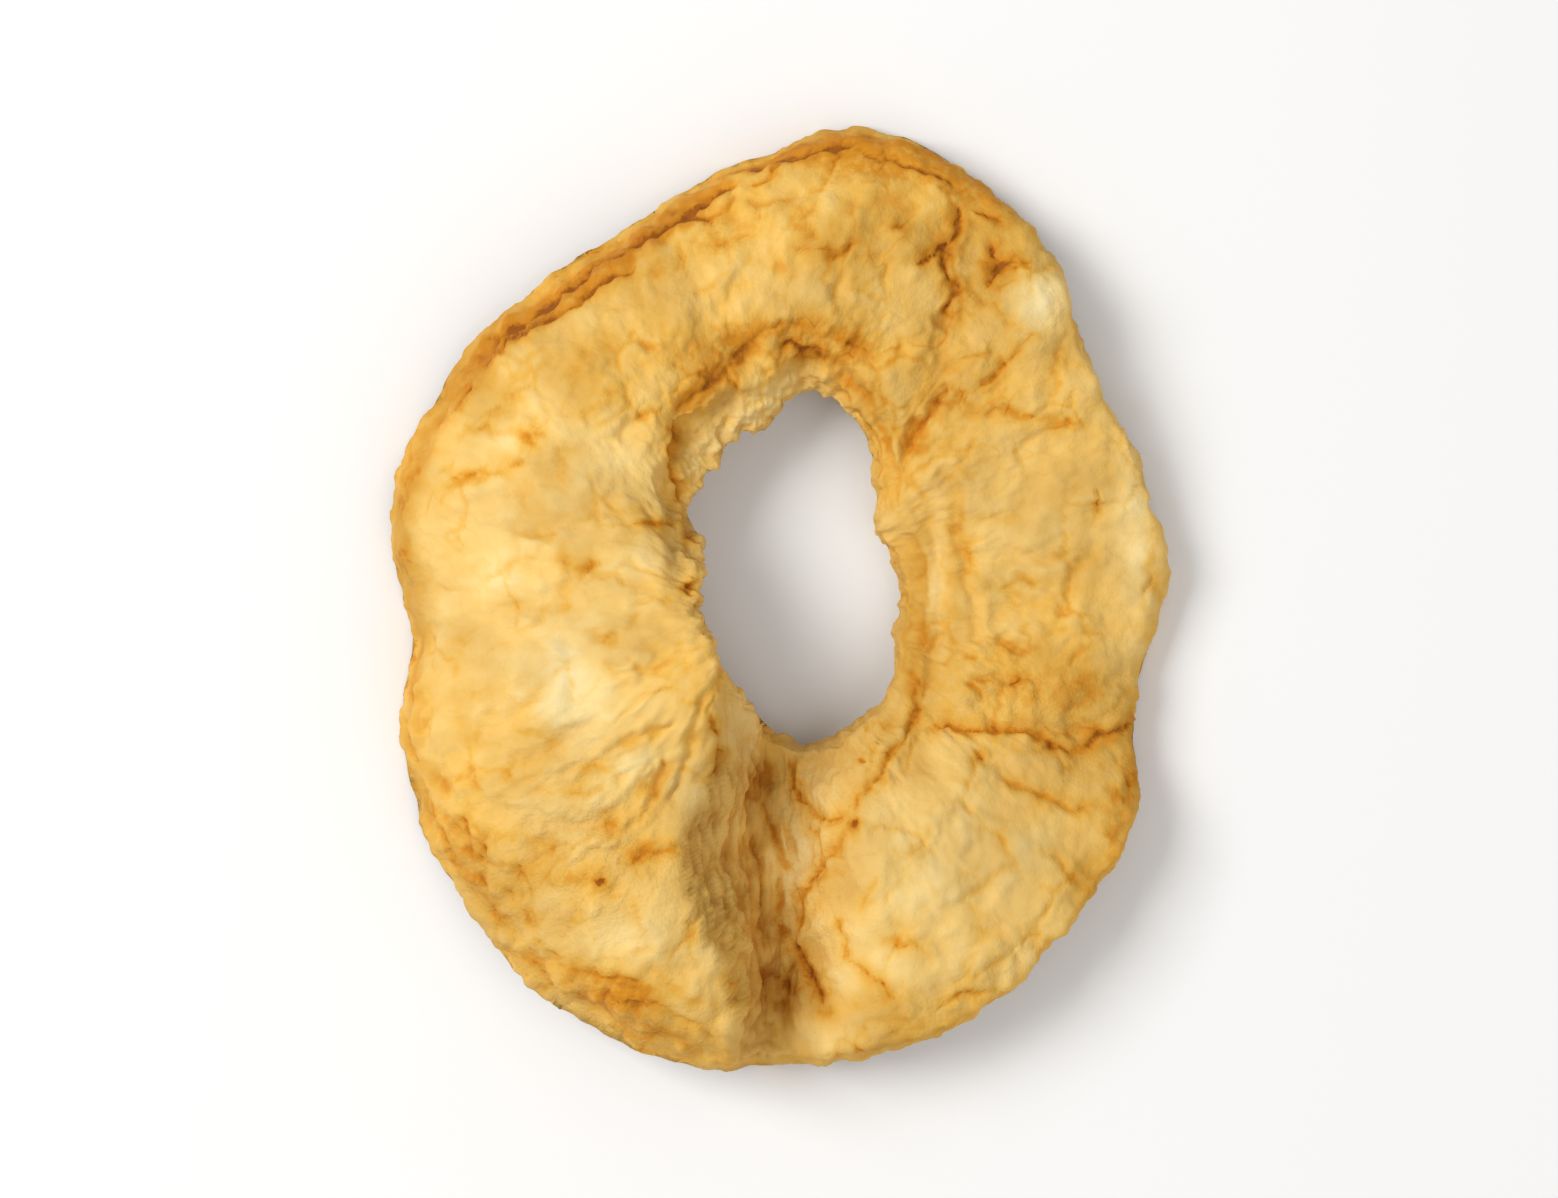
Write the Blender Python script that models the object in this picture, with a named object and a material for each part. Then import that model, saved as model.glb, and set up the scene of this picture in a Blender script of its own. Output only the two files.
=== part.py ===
"""Dried apple ring: one cored slice of peeled apple, domed, waved and folded once as it dried.

The ring lies as a dried slice lies on a table. +Z is up, +Y points to the long end opposite
the fold, and the origin is under the middle of the ring, on the surface it rests on.
The body is a torus whose rings of vertices are laid over the slice: every vertex keeps its
angle round the hole, and its place round the tube tells where it lies in the slice's section.
"""

import math

import bpy
import numpy as np
from mathutils import Vector, noise

MM = 0.001

# Driving sizes of the dried slice, in millimetres
RING_WIDTH = 54.8
RING_LENGTH = 66.2
SLICE_THICKNESS = 3.4
LIP_THICKENING = 0.5
CORE_THINNING = 0.35

# Steps round the hole and round the section
STEPS_ROUND = 156
STEPS_SECTION = 34

# Plan outline of the slice, as (degrees from +X, distance from the middle in mm)
RIM_STATIONS = (
    (2, 27.2), (14, 27.3), (22, 27.3), (30, 26.7), (37, 27.3), (44, 28.9), (51, 30.6),
    (60, 31.9), (69, 33.3), (77, 33.9), (84, 33.2), (91, 31.7), (98, 30.7), (107, 29.1),
    (119, 28.2), (132, 28.2), (144, 28.6), (154, 28.1), (165, 28.4), (173, 27.6),
    (186, 26.4), (200, 28.6), (213, 30.1), (224, 31.2), (238, 32.8), (249, 33.1),
    (266, 33.1), (283, 32.3), (300, 31.6), (315, 30.2), (325, 29.9), (332, 28.6),
    (340, 26.8), (349, 26.2),
)

# Outline of the cored hole, drawn out lengthwise, in the same measures
HOLE_STATIONS = (
    (5, 8.3), (22, 8.3), (38, 8.6), (50, 10.4), (61, 12.4), (71, 13.6), (80, 14.3),
    (87, 13.1), (96, 11.4), (109, 10.5), (122, 9.2), (134, 8.3), (146, 6.4), (160, 5.2),
    (185, 5.0), (210, 5.1), (232, 5.8), (250, 6.9), (264, 8.4), (278, 9.8), (300, 9.6),
    (318, 9.5), (336, 8.4), (350, 8.1),
)

# Height of the middle of the slice along its crown, its rim and its hole
CROWN_HEIGHTS = (
    (0, 3.5), (30, 4.4), (60, 6.0), (90, 7.2), (120, 8.8), (150, 10.6), (180, 11.9),
    (215, 12.7), (240, 12.9), (262, 11.4), (280, 8.5), (310, 6.4), (340, 4.0),
)
RIM_HEIGHTS = (
    (0, 1.9), (12, 2.9), (25, 4.0), (45, 4.4), (68, 2.9), (88, 1.6), (108, 2.6), (130, 3.6),
    (155, 2.3), (180, 1.1), (200, 1.1), (222, 2.4), (242, 4.4), (256, 6.6), (266, 6.6),
    (280, 5.6), (302, 5.7), (320, 4.9), (338, 2.3), (350, 1.5),
)
HOLE_HEIGHTS = (
    (0, 2.4), (45, 3.6), (90, 5.4), (130, 6.8), (165, 10.2), (200, 12.0), (232, 12.2),
    (262, 8.4), (285, 5.8), (320, 3.5),
)

# Share of the way from hole to rim at which the crown lies
CROWN_PLACE = (
    (0, 0.3), (60, 0.4), (120, 0.42), (180, 0.28), (225, 0.38), (252, 0.56), (300, 0.5),
    (340, 0.36),
)

# How the slope falls to the rim: 1 is straight, 2 is round. And how far it levels out
# again before the rim: 1 is not at all, more is a brim
FALL = (
    (0, 4.4), (40, 3.8), (90, 2.6), (140, 2.2), (200, 1.9), (245, 2.5), (300, 3.2), (340, 4.2),
)
BRIM = ((0, 1.0), (90, 1.1), (128, 1.4), (165, 1.0), (200, 0.9), (235, 0.95), (300, 1.0))
INNER_FALL = 2.0

# Slant of the slice's side walls: how far the upper edge stands back from the lower one
RIM_SLANT = (
    (0, 0.9), (30, 0.9), (60, 1.2), (85, 1.6), (110, 2.6), (135, 3.2), (165, 2.0),
    (190, 1.8), (215, 3.0), (240, 4.2), (258, 3.2), (275, 1.2), (320, 1.2),
)
HOLE_SLANT = (
    (0, 0.6), (50, 0.9), (80, 1.3), (102, 1.7), (125, 1.8), (148, 1.4), (170, 0.9),
    (215, 0.5), (270, 0.8), (320, 0.6),
)

# Share of the thickness that is torn away along the hole's edge, and where that ledge starts
# and ends, as shares of the way from hole to rim
HOLE_THINNING = (
    (0, 0.2), (60, 0.4), (85, 0.6), (130, 0.62), (160, 0.5), (190, 0.1), (300, 0.1),
)
LEDGE_STEP = (0.045, 0.105)
LIP_STEP = (0.75, 0.95)

# The fold, a valley that runs from the hole's lower end to the rim, with a steep left flank.
# Each line gives a value in mm at places along Y, from below the rim up to the hole
FOLD_VALLEY_X = (
    (-34.0, -2.1), (-30.5, -1.6), (-27.0, -1.0), (-22.0, -1.1), (-17.0, -1.5), (-12.0, -1.3),
    (-8.0, -0.6), (-4.0, 0.6),
)
FOLD_RIDGE_X = (
    (-34.0, -3.7), (-30.4, -3.3), (-28.2, -3.2), (-25.6, -3.8), (-22.3, -5.3), (-20.0, -6.7),
    (-17.0, -7.4), (-12.6, -5.5), (-8.5, -4.5), (-4.0, -4.0),
)
FOLD_DEPTH = (
    (-34.0, 5.5), (-30.0, 6.0), (-26.0, 7.0), (-20.0, 7.0), (-15.0, 6.2), (-11.0, 4.9),
    (-8.5, 3.3), (-6.0, 1.2), (-4.0, 0.0),
)
VALLEY_SOFTNESS = 0.7
FLANK_CURVE = 1.2
FOLD_RIGHT_WIDTH = 8.5
RIDGE_ROUNDNESS = 9.0
FULL_CLIMB = 3.0

# Broad dents and lumps, as (x, y, length, breadth, turn in degrees, height), all in mm
SWELLINGS = (
    (16.5, 4.0, 7.5, 5.0, 80.0, 0.9),
    (11.0, -18.5, 8.5, 7.0, 10.0, 0.8),
    (-9.5, -22.0, 5.5, 4.0, 75.0, 0.6),
    (-17.0, -6.0, 8.0, 5.0, 70.0, 0.4),
    (18.0, 19.5, 3.2, 2.4, 60.0, 0.5),
    (2.0, 24.0, 8.0, 3.2, 0.0, 0.4),
)
CREASES = (
    (18.0, -9.2, 8.0, 2.0, -4.0, -0.7),
    (8.6, -10.5, 4.2, 1.8, 62.0, -0.5),
    (9.6, 13.2, 3.6, 1.8, 55.0, -0.5),
    (11.6, 20.5, 7.0, 2.2, 82.0, -0.6),
    (-8.2, -11.2, 2.6, 1.8, 60.0, -0.4),
    (4.2, -26.0, 4.0, 1.8, 112.0, -0.4),
)

# Uneven drying: gentle waves over the slice and scallops along its edges
WAVE_SIZES = ((11.0, 0.42), (4.6, 0.2))
RIM_SCALLOPS = ((17.0, 0.14), (38.0, 0.14))
HOLE_SCALLOPS = ((5.5, 0.15), (13.0, 0.2))
TORN_EDGE = (70.0, 160.0)
TORN_BLEND = 15.0
TORN_TEETH = 0.55
TORN_STEP = 21.0
SEED = 11.0
RIM_LAYER = 3.0
HOLE_LAYER = 7.0
WAVE_LAYER = 20.0

# The surface that the ring rests on flattens its lowest spots by this much
CONTACT_FLAT = 0.3

# How square the slice's edges are (a small number is square), how far in from an edge the
# skin's offset turns from upright to square with the surface, and the step that slopes are
# measured over
WALL_BLUNTNESS = 0.15
EDGE_REACH = 4.0
SLOPE_STEP = 0.05
TUBE_RADIUS = 0.25

FLESH_COLOUR = (0.82, 0.53, 0.185, 1.0)
FLESH_ROUGHNESS = 0.72


def smooth(low, high, value):
    """Rises softly from 0 at low to 1 at high."""
    share = np.clip((value - low) / (high - low), 0.0, 1.0)
    return share * share * (3.0 - 2.0 * share)


def between(places, values, at):
    """Reads rising places and their values at any place, on a smooth curve through them."""
    slopes = np.gradient(values, places)
    left = np.clip(np.searchsorted(places, at, side="right") - 1, 0, len(places) - 2)
    span = places[left + 1] - places[left]
    t = (at - places[left]) / span
    start = (1.0 + 2.0 * t) * (1.0 - t) ** 2 * values[left]
    end = t * t * (3.0 - 2.0 * t) * values[left + 1]
    leave = t * (1.0 - t) ** 2 * span * slopes[left]
    arrive = t * t * (t - 1.0) * span * slopes[left + 1]
    return start + end + leave + arrive


def around(stations, degrees):
    """Reads a closed run of (degrees, value) stations at any angle, on a smooth curve."""
    places, values = (np.array(column, float) for column in zip(*sorted(stations)))
    places = np.concatenate((places[-2:] - 360.0, places, places[:3] + 360.0))
    values = np.concatenate((values[-2:], values, values[:3]))
    return between(places, values, np.mod(degrees - places[2], 360.0) + places[2])


def along(stations, at):
    """Reads an open run of (place, value) stations on a smooth curve, level past its ends."""
    places, values = (np.array(column, float) for column in zip(*stations))
    return between(places, values, np.clip(at, places[0], places[-1]))


def grain(x, y, layer):
    """Smooth random values from about -1 to 1 over the plane, the same on every run."""
    return np.array([noise.noise(Vector((a, b, SEED + layer))) for a, b in zip(x, y)])


def scallops(degrees, sizes, layer):
    """Uneven bites along an edge: each size is (waves round the edge, depth in mm)."""
    turn = np.radians(degrees)
    total = np.zeros_like(turn)
    for index, (waves, depth) in enumerate(sizes):
        reach = waves / (2.0 * math.pi)
        total += depth * 2.0 * grain(np.cos(turn) * reach, np.sin(turn) * reach, layer + index)
    return total


def rim_radius(degrees):
    """Distance of the outer edge from the middle, with its scallops."""
    return around(RIM_STATIONS, degrees) + scallops(degrees, RIM_SCALLOPS, RIM_LAYER)


def hole_radius(degrees):
    """Distance of the hole's edge from the middle, torn into teeth on its upper left."""
    torn = smooth(TORN_EDGE[0], TORN_EDGE[0] + TORN_BLEND, degrees)
    torn *= 1.0 - smooth(TORN_EDGE[1] - TORN_BLEND, TORN_EDGE[1], degrees)
    teeth = np.abs(np.mod(degrees / 360.0 * TORN_STEP * 2.0, 2.0) - 1.0) - 0.5
    edge = around(HOLE_STATIONS, degrees) + scallops(degrees, HOLE_SCALLOPS, HOLE_LAYER)
    return edge + TORN_TEETH * torn * teeth


def ellipse_bump(x, y, feature):
    """A soft bump or furrow on an elliptical foot, turned in the plane."""
    centre_x, centre_y, length, breadth, turn, height = feature
    c = math.cos(math.radians(turn))
    s = math.sin(math.radians(turn))
    lengthwise = ((x - centre_x) * c + (y - centre_y) * s) / length
    crosswise = ((y - centre_y) * c - (x - centre_x) * s) / breadth
    return height * np.exp(-(lengthwise**2) - crosswise**2)


def arch(degrees, share):
    """Height of the plain dome, from the hole at share 0 over the crown to the rim at 1."""
    crown = around(CROWN_HEIGHTS, degrees)
    rim = around(RIM_HEIGHTS, degrees)
    hole = around(HOLE_HEIGHTS, degrees)
    place = around(CROWN_PLACE, degrees)
    fall = around(FALL, degrees)
    brim = around(BRIM, degrees)
    outward = np.clip((share - place) / (1.0 - place), 0.0, 1.0)
    inward = np.clip((place - share) / place, 0.0, 1.0)
    outer = rim + (crown - rim) * (1.0 - outward**fall) ** brim
    inner = hole + (crown - hole) * (1.0 - inward**INNER_FALL)
    return np.where(share > place, outer, inner)


def fold(x, y):
    """Depth of the valley below the dome, steep on its left and gentle on its right."""
    valley = along(FOLD_VALLEY_X, y)
    leftward = VALLEY_SOFTNESS * np.logaddexp(0.0, (valley - x) / VALLEY_SOFTNESS)
    climb = leftward / (valley - along(FOLD_RIDGE_X, y))
    climb = np.minimum(climb, FULL_CLIMB) ** FLANK_CURVE
    end = math.exp(-RIDGE_ROUNDNESS)
    ridge = np.log(np.exp(-RIDGE_ROUNDNESS * climb) + end) - math.log(1.0 + end)
    left = np.maximum(1.0 + ridge / RIDGE_ROUNDNESS, 0.0)
    right = 1.0 - smooth(0.0, FOLD_RIGHT_WIDTH, x - valley)
    return along(FOLD_DEPTH, y) * left * right


def height(x, y):
    """Height of the middle of the slice over the plane, before the ring is set down."""
    degrees = np.degrees(np.arctan2(y, x))
    inner = around(HOLE_STATIONS, degrees)
    outer = around(RIM_STATIONS, degrees)
    share = np.clip((np.hypot(x, y) - inner) / (outer - inner), 0.0, 1.0)
    level = arch(degrees, share) - fold(x, y)
    for feature in SWELLINGS + CREASES:
        level += ellipse_bump(x, y, feature)
    for index, (size, swing) in enumerate(WAVE_SIZES):
        level += 2.0 * swing * grain(x / size, y / size, WAVE_LAYER + index)
    return level


def thickness(share, degrees):
    """Thickness of the slice: fuller at the rim, drawn in along its middle and at the hole."""
    lip = smooth(*LIP_STEP, share)
    thin = 1.0 - (2.0 * share - 1.0) ** 2
    torn = around(HOLE_THINNING, degrees) * (1.0 - smooth(*LEDGE_STEP, share))
    return (SLICE_THICKNESS + LIP_THICKENING * lip - CORE_THINNING * thin) * (1.0 - torn)


def lay_out(turn, tube):
    """Positions in mm for vertices at an angle round the hole and an angle round the tube."""
    degrees = np.degrees(turn)
    across = np.cos(tube)
    upward = np.sign(np.sin(tube)) * np.abs(np.sin(tube)) ** WALL_BLUNTNESS
    inner = hole_radius(degrees)
    outer = rim_radius(degrees)
    raised = 0.5 + 0.5 * upward
    inner = inner + raised * around(HOLE_SLANT, degrees)
    outer = outer - raised * around(RIM_SLANT, degrees)
    share = 0.5 + 0.5 * across
    radius = inner + share * (outer - inner)
    x = radius * np.cos(turn)
    y = radius * np.sin(turn)
    z = height(x, y)
    slope_x = (height(x + SLOPE_STEP, y) - height(x - SLOPE_STEP, y)) / (2.0 * SLOPE_STEP)
    slope_y = (height(x, y + SLOPE_STEP) - height(x, y - SLOPE_STEP)) / (2.0 * SLOPE_STEP)
    steepness = np.sqrt(1.0 + slope_x**2 + slope_y**2)
    margin = np.minimum(share, 1.0 - share) * (outer - inner)
    inside = smooth(0.0, EDGE_REACH, margin)
    half = 0.5 * thickness(share, degrees) * upward
    lean = half * inside / steepness
    rise = half * (inside / steepness + 1.0 - inside)
    return np.stack((x - slope_x * lean, y - slope_y * lean, z + rise), axis=1)


def set_down(points):
    """Fits the ring to its width and length, centres it and rests it on flattened spots."""
    low = points.min(axis=0)
    high = points.max(axis=0)
    span = high - low
    points[:, 0] = (points[:, 0] - 0.5 * (low[0] + high[0])) * RING_WIDTH / span[0]
    points[:, 1] = (points[:, 1] - 0.5 * (low[1] + high[1])) * RING_LENGTH / span[1]
    points[:, 2] = np.maximum(points[:, 2] - low[2] - CONTACT_FLAT, 0.0)
    return points


def make_flesh():
    """The pale golden flesh of the dried slice."""
    material = bpy.data.materials.new("dried_flesh")
    material.use_nodes = True
    shader = material.node_tree.nodes["Principled BSDF"]
    shader.inputs["Base Color"].default_value = FLESH_COLOUR
    shader.inputs["Roughness"].default_value = FLESH_ROUGHNESS
    shader.inputs["Metallic"].default_value = 0.0
    return material


def make_ring(material):
    """The slice itself, one closed body from a torus."""
    bpy.ops.mesh.primitive_torus_add(
        major_segments=STEPS_ROUND,
        minor_segments=STEPS_SECTION,
        major_radius=1.0,
        minor_radius=TUBE_RADIUS,
    )
    ring = bpy.context.object
    ring.name = "apple_ring"
    ring.data.name = "apple_ring"
    places = np.zeros(len(ring.data.vertices) * 3)
    ring.data.vertices.foreach_get("co", places)
    places = places.reshape(-1, 3)
    turn = np.arctan2(places[:, 1], places[:, 0])
    tube = np.arctan2(places[:, 2], np.hypot(places[:, 0], places[:, 1]) - 1.0)
    points = set_down(lay_out(turn, tube)) * MM
    ring.data.vertices.foreach_set("co", points.ravel())
    ring.data.update()
    ring.data.shade_smooth()
    ring.data.materials.append(material)
    return ring


def main():
    """Clears the scene and builds the ring in a collection of its own."""
    for item in list(bpy.data.objects):
        bpy.data.objects.remove(item)
    collection = bpy.data.collections.new("dried_apple_ring")
    bpy.context.scene.collection.children.link(collection)
    ring = make_ring(make_flesh())
    for holder in list(ring.users_collection):
        holder.objects.unlink(ring)
    collection.objects.link(ring)


main()
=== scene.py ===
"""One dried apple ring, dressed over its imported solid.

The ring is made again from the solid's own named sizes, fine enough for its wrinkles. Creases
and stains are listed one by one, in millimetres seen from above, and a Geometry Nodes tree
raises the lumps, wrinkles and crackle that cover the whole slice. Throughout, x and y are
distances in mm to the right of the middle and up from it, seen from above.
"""

import logging
import math
from dataclasses import dataclass
from enum import Enum

import bpy
import numpy as np
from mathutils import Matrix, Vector, noise


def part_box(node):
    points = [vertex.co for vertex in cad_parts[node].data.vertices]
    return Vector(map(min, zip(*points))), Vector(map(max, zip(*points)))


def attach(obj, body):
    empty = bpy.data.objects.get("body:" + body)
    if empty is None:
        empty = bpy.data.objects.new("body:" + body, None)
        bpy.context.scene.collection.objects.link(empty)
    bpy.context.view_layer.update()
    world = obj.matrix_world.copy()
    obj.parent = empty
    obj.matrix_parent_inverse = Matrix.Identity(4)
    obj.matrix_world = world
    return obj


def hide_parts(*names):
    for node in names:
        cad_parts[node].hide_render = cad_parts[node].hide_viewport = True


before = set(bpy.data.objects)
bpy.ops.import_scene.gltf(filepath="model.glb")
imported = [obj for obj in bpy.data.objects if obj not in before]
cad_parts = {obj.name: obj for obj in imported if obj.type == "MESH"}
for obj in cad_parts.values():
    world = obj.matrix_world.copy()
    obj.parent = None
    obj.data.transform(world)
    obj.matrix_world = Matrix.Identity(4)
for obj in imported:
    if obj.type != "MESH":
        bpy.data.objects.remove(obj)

LOG = logging.getLogger("apple_ring")
CAD_NODE = "apple_ring"
PIECE = "dried_ring"
BODY = "root"
MM = 0.001
HALF_TURN = 180.0
FULL_TURN = 2.0 * HALF_TURN
NOISE_GAIN = 2.0
NOISE_MIDDLE = 0.5
RICH_DETAIL = 3.0
WHITE = (1.0, 1.0, 1.0, 1.0)
Pair = tuple[float, float]
Stations = tuple[Pair, ...]
Colour = tuple[float, float, float, float]
Socket = bpy.types.NodeSocket


def smooth(low: float, high: float, value: np.ndarray) -> np.ndarray:
    """Rises softly from 0 at low to 1 at high."""
    share = np.clip((value - low) / (high - low), 0.0, 1.0)
    return share * share * (3.0 - 2.0 * share)


def grain(x: np.ndarray, y: np.ndarray, layer: float) -> np.ndarray:
    """Smooth random values from about -1 to 1 over the plane, the same on every run."""
    return np.array([NOISE_GAIN * noise.noise(Vector((a, b, layer))) for a, b in zip(x, y)])


def read_curve(places: np.ndarray, values: np.ndarray, at: np.ndarray) -> np.ndarray:
    """Reads a smooth curve through values that stand at rising places.

    Args:
        places: where the values stand.
        values: the values there.
        at: where to read, within the places.

    Returns:
        The curve's value at each place that is read.
    """
    slopes = np.gradient(values, places)
    left = np.clip(np.searchsorted(places, at, side="right") - 1, 0, len(places) - 2)
    span = places[left + 1] - places[left]
    t = (at - places[left]) / span
    ends = (1.0 + 2.0 * t) * (1.0 - t) ** 2 * values[left] + t * t * (3.0 - 2.0 * t) * values[left + 1]
    lean = t * (1.0 - t) ** 2 * slopes[left] + t * t * (t - 1.0) * slopes[left + 1]
    return ends + span * lean


def read_rail(stations: Stations, degrees: np.ndarray) -> np.ndarray:
    """Reads a closed run of (degrees, value) stations at any angle, on a smooth curve.

    Args:
        stations: angles from +X and the values there, once round the hole.
        degrees: the angles to read at.

    Returns:
        The value at each angle.
    """
    places, values = (np.array(column, float) for column in zip(*sorted(stations)))
    places = np.concatenate((places[-2:] - FULL_TURN, places, places[:3] + FULL_TURN))
    values = np.concatenate((values[-2:], values, values[:3]))
    turned = np.mod(degrees - places[2], FULL_TURN) + places[2]
    return read_curve(places, values, turned)


def read_line(stations: Stations, at: np.ndarray) -> np.ndarray:
    """Reads a run of rising (place, value) stations on a smooth curve, level past its ends."""
    places, values = (np.array(column, float) for column in zip(*stations))
    return read_curve(places, values, np.clip(at, places[0], places[-1]))


@dataclass(frozen=True)
class Foot:
    """A soft mark on an elliptical foot, turned in the plane, in mm and degrees."""

    x: float
    y: float
    length: float
    breadth: float
    turn: float
    strength: float

    def weight(self, x: np.ndarray, y: np.ndarray) -> np.ndarray:
        """Works out the mark's strength at points of the plane.

        Args:
            x: distances to the right.
            y: distances up.

        Returns:
            The strength, full in the foot's middle and soft to its edge.
        """
        c = math.cos(math.radians(self.turn))
        s = math.sin(math.radians(self.turn))
        along = ((x - self.x) * c + (y - self.y) * s) / self.length
        across = ((y - self.y) * c - (x - self.x) * s) / self.breadth
        return self.strength * np.exp(-(along**2) - across**2)


def feet(*rows: tuple[float, ...]) -> tuple[Foot, ...]:
    """Makes a mark of each row: its x, y, length, breadth, turn and strength."""
    return tuple(Foot(*row) for row in rows)


def weigh(marks: tuple[Foot, ...], x: np.ndarray, y: np.ndarray) -> np.ndarray:
    """Adds up the strengths of marks at points of the plane."""
    return sum(mark.weight(x, y) for mark in marks)


@dataclass(frozen=True)
class Fold:
    """The valley from the hole's lower end to the rim, steep on its left.

    Each line gives a value in mm at places up the slice, from the rim at the bottom. A climb
    is how far up the steep side a point lies, 0 in the valley and 1 at the ridge.
    """

    valley: Stations = (
        (-34.0, -2.1), (-30.5, -1.6), (-27.0, -1.0), (-22.0, -1.1), (-17.0, -1.5), (-12.0, -1.3),
        (-8.0, -0.6), (-4.0, 0.6),
    )
    ridge: Stations = (
        (-34.0, -3.7), (-30.4, -3.3), (-28.2, -3.2), (-25.6, -3.8), (-22.3, -5.3), (-20.0, -6.7),
        (-17.0, -7.4), (-12.6, -5.5), (-8.5, -4.5), (-4.0, -4.0),
    )
    depth: Stations = (
        (-34.0, 5.5), (-30.0, 6.0), (-26.0, 7.0), (-20.0, 7.0), (-15.0, 6.2), (-11.0, 4.9),
        (-8.5, 3.3), (-6.0, 1.2), (-4.0, 0.0),
    )
    flank_curve: float = 1.2
    right_width: float = 8.5
    ridge_roundness: float = 14.0
    valley_softness: float = 0.5
    full_climb: float = 3.0
    narrow_width: float = 1.9
    flank_shift: float = 0.6
    flank_foot: Pair = (0.0, 0.12)
    flank_top: Pair = (0.8, 1.1)
    lower_part: Pair = (8.0, 13.0)

    def climb(self, x: np.ndarray, y: np.ndarray) -> np.ndarray:
        """Works out how far up the steep side points lie.

        Args:
            x: distances to the right.
            y: distances up.

        Returns:
            The climb of each point.
        """
        valley = read_line(self.valley, y)
        leftward = self.valley_softness * np.logaddexp(0.0, (valley - x) / self.valley_softness)
        return leftward / (valley - read_line(self.ridge, y))

    def depth_at(self, x: np.ndarray, y: np.ndarray) -> np.ndarray:
        """Works out how far the fold drops below the dome.

        Args:
            x: distances to the right.
            y: distances up.

        Returns:
            The depth at each point.
        """
        climb = np.minimum(self.climb(x, y), self.full_climb) ** self.flank_curve
        end = math.exp(-self.ridge_roundness)
        ridge = np.log(np.exp(-self.ridge_roundness * climb) + end) - math.log(1.0 + end)
        left = np.maximum(1.0 + ridge / self.ridge_roundness, 0.0)
        right = 1.0 - smooth(0.0, self.right_width, x - read_line(self.valley, y))
        return read_line(self.depth, y) * left * right

    def flank_share(self, x: np.ndarray, y: np.ndarray) -> np.ndarray:
        """Finds the steep left side.

        Args:
            x: distances to the right.
            y: distances up.

        Returns:
            1 on the steep side, fading to 0 beside it.
        """
        climb = self.climb(x - self.flank_shift, y)
        inside = smooth(*self.flank_foot, climb) * (1.0 - smooth(*self.flank_top, climb))
        return inside * smooth(*self.lower_part, -y)

    def narrow_share(self, x: np.ndarray, y: np.ndarray) -> np.ndarray:
        """1 along the bottom of the valley, fading to 0 beside it."""
        off = (x - read_line(self.valley, y)) / self.narrow_width
        return np.exp(-(off**2)) * smooth(*self.lower_part, -y)


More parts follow.
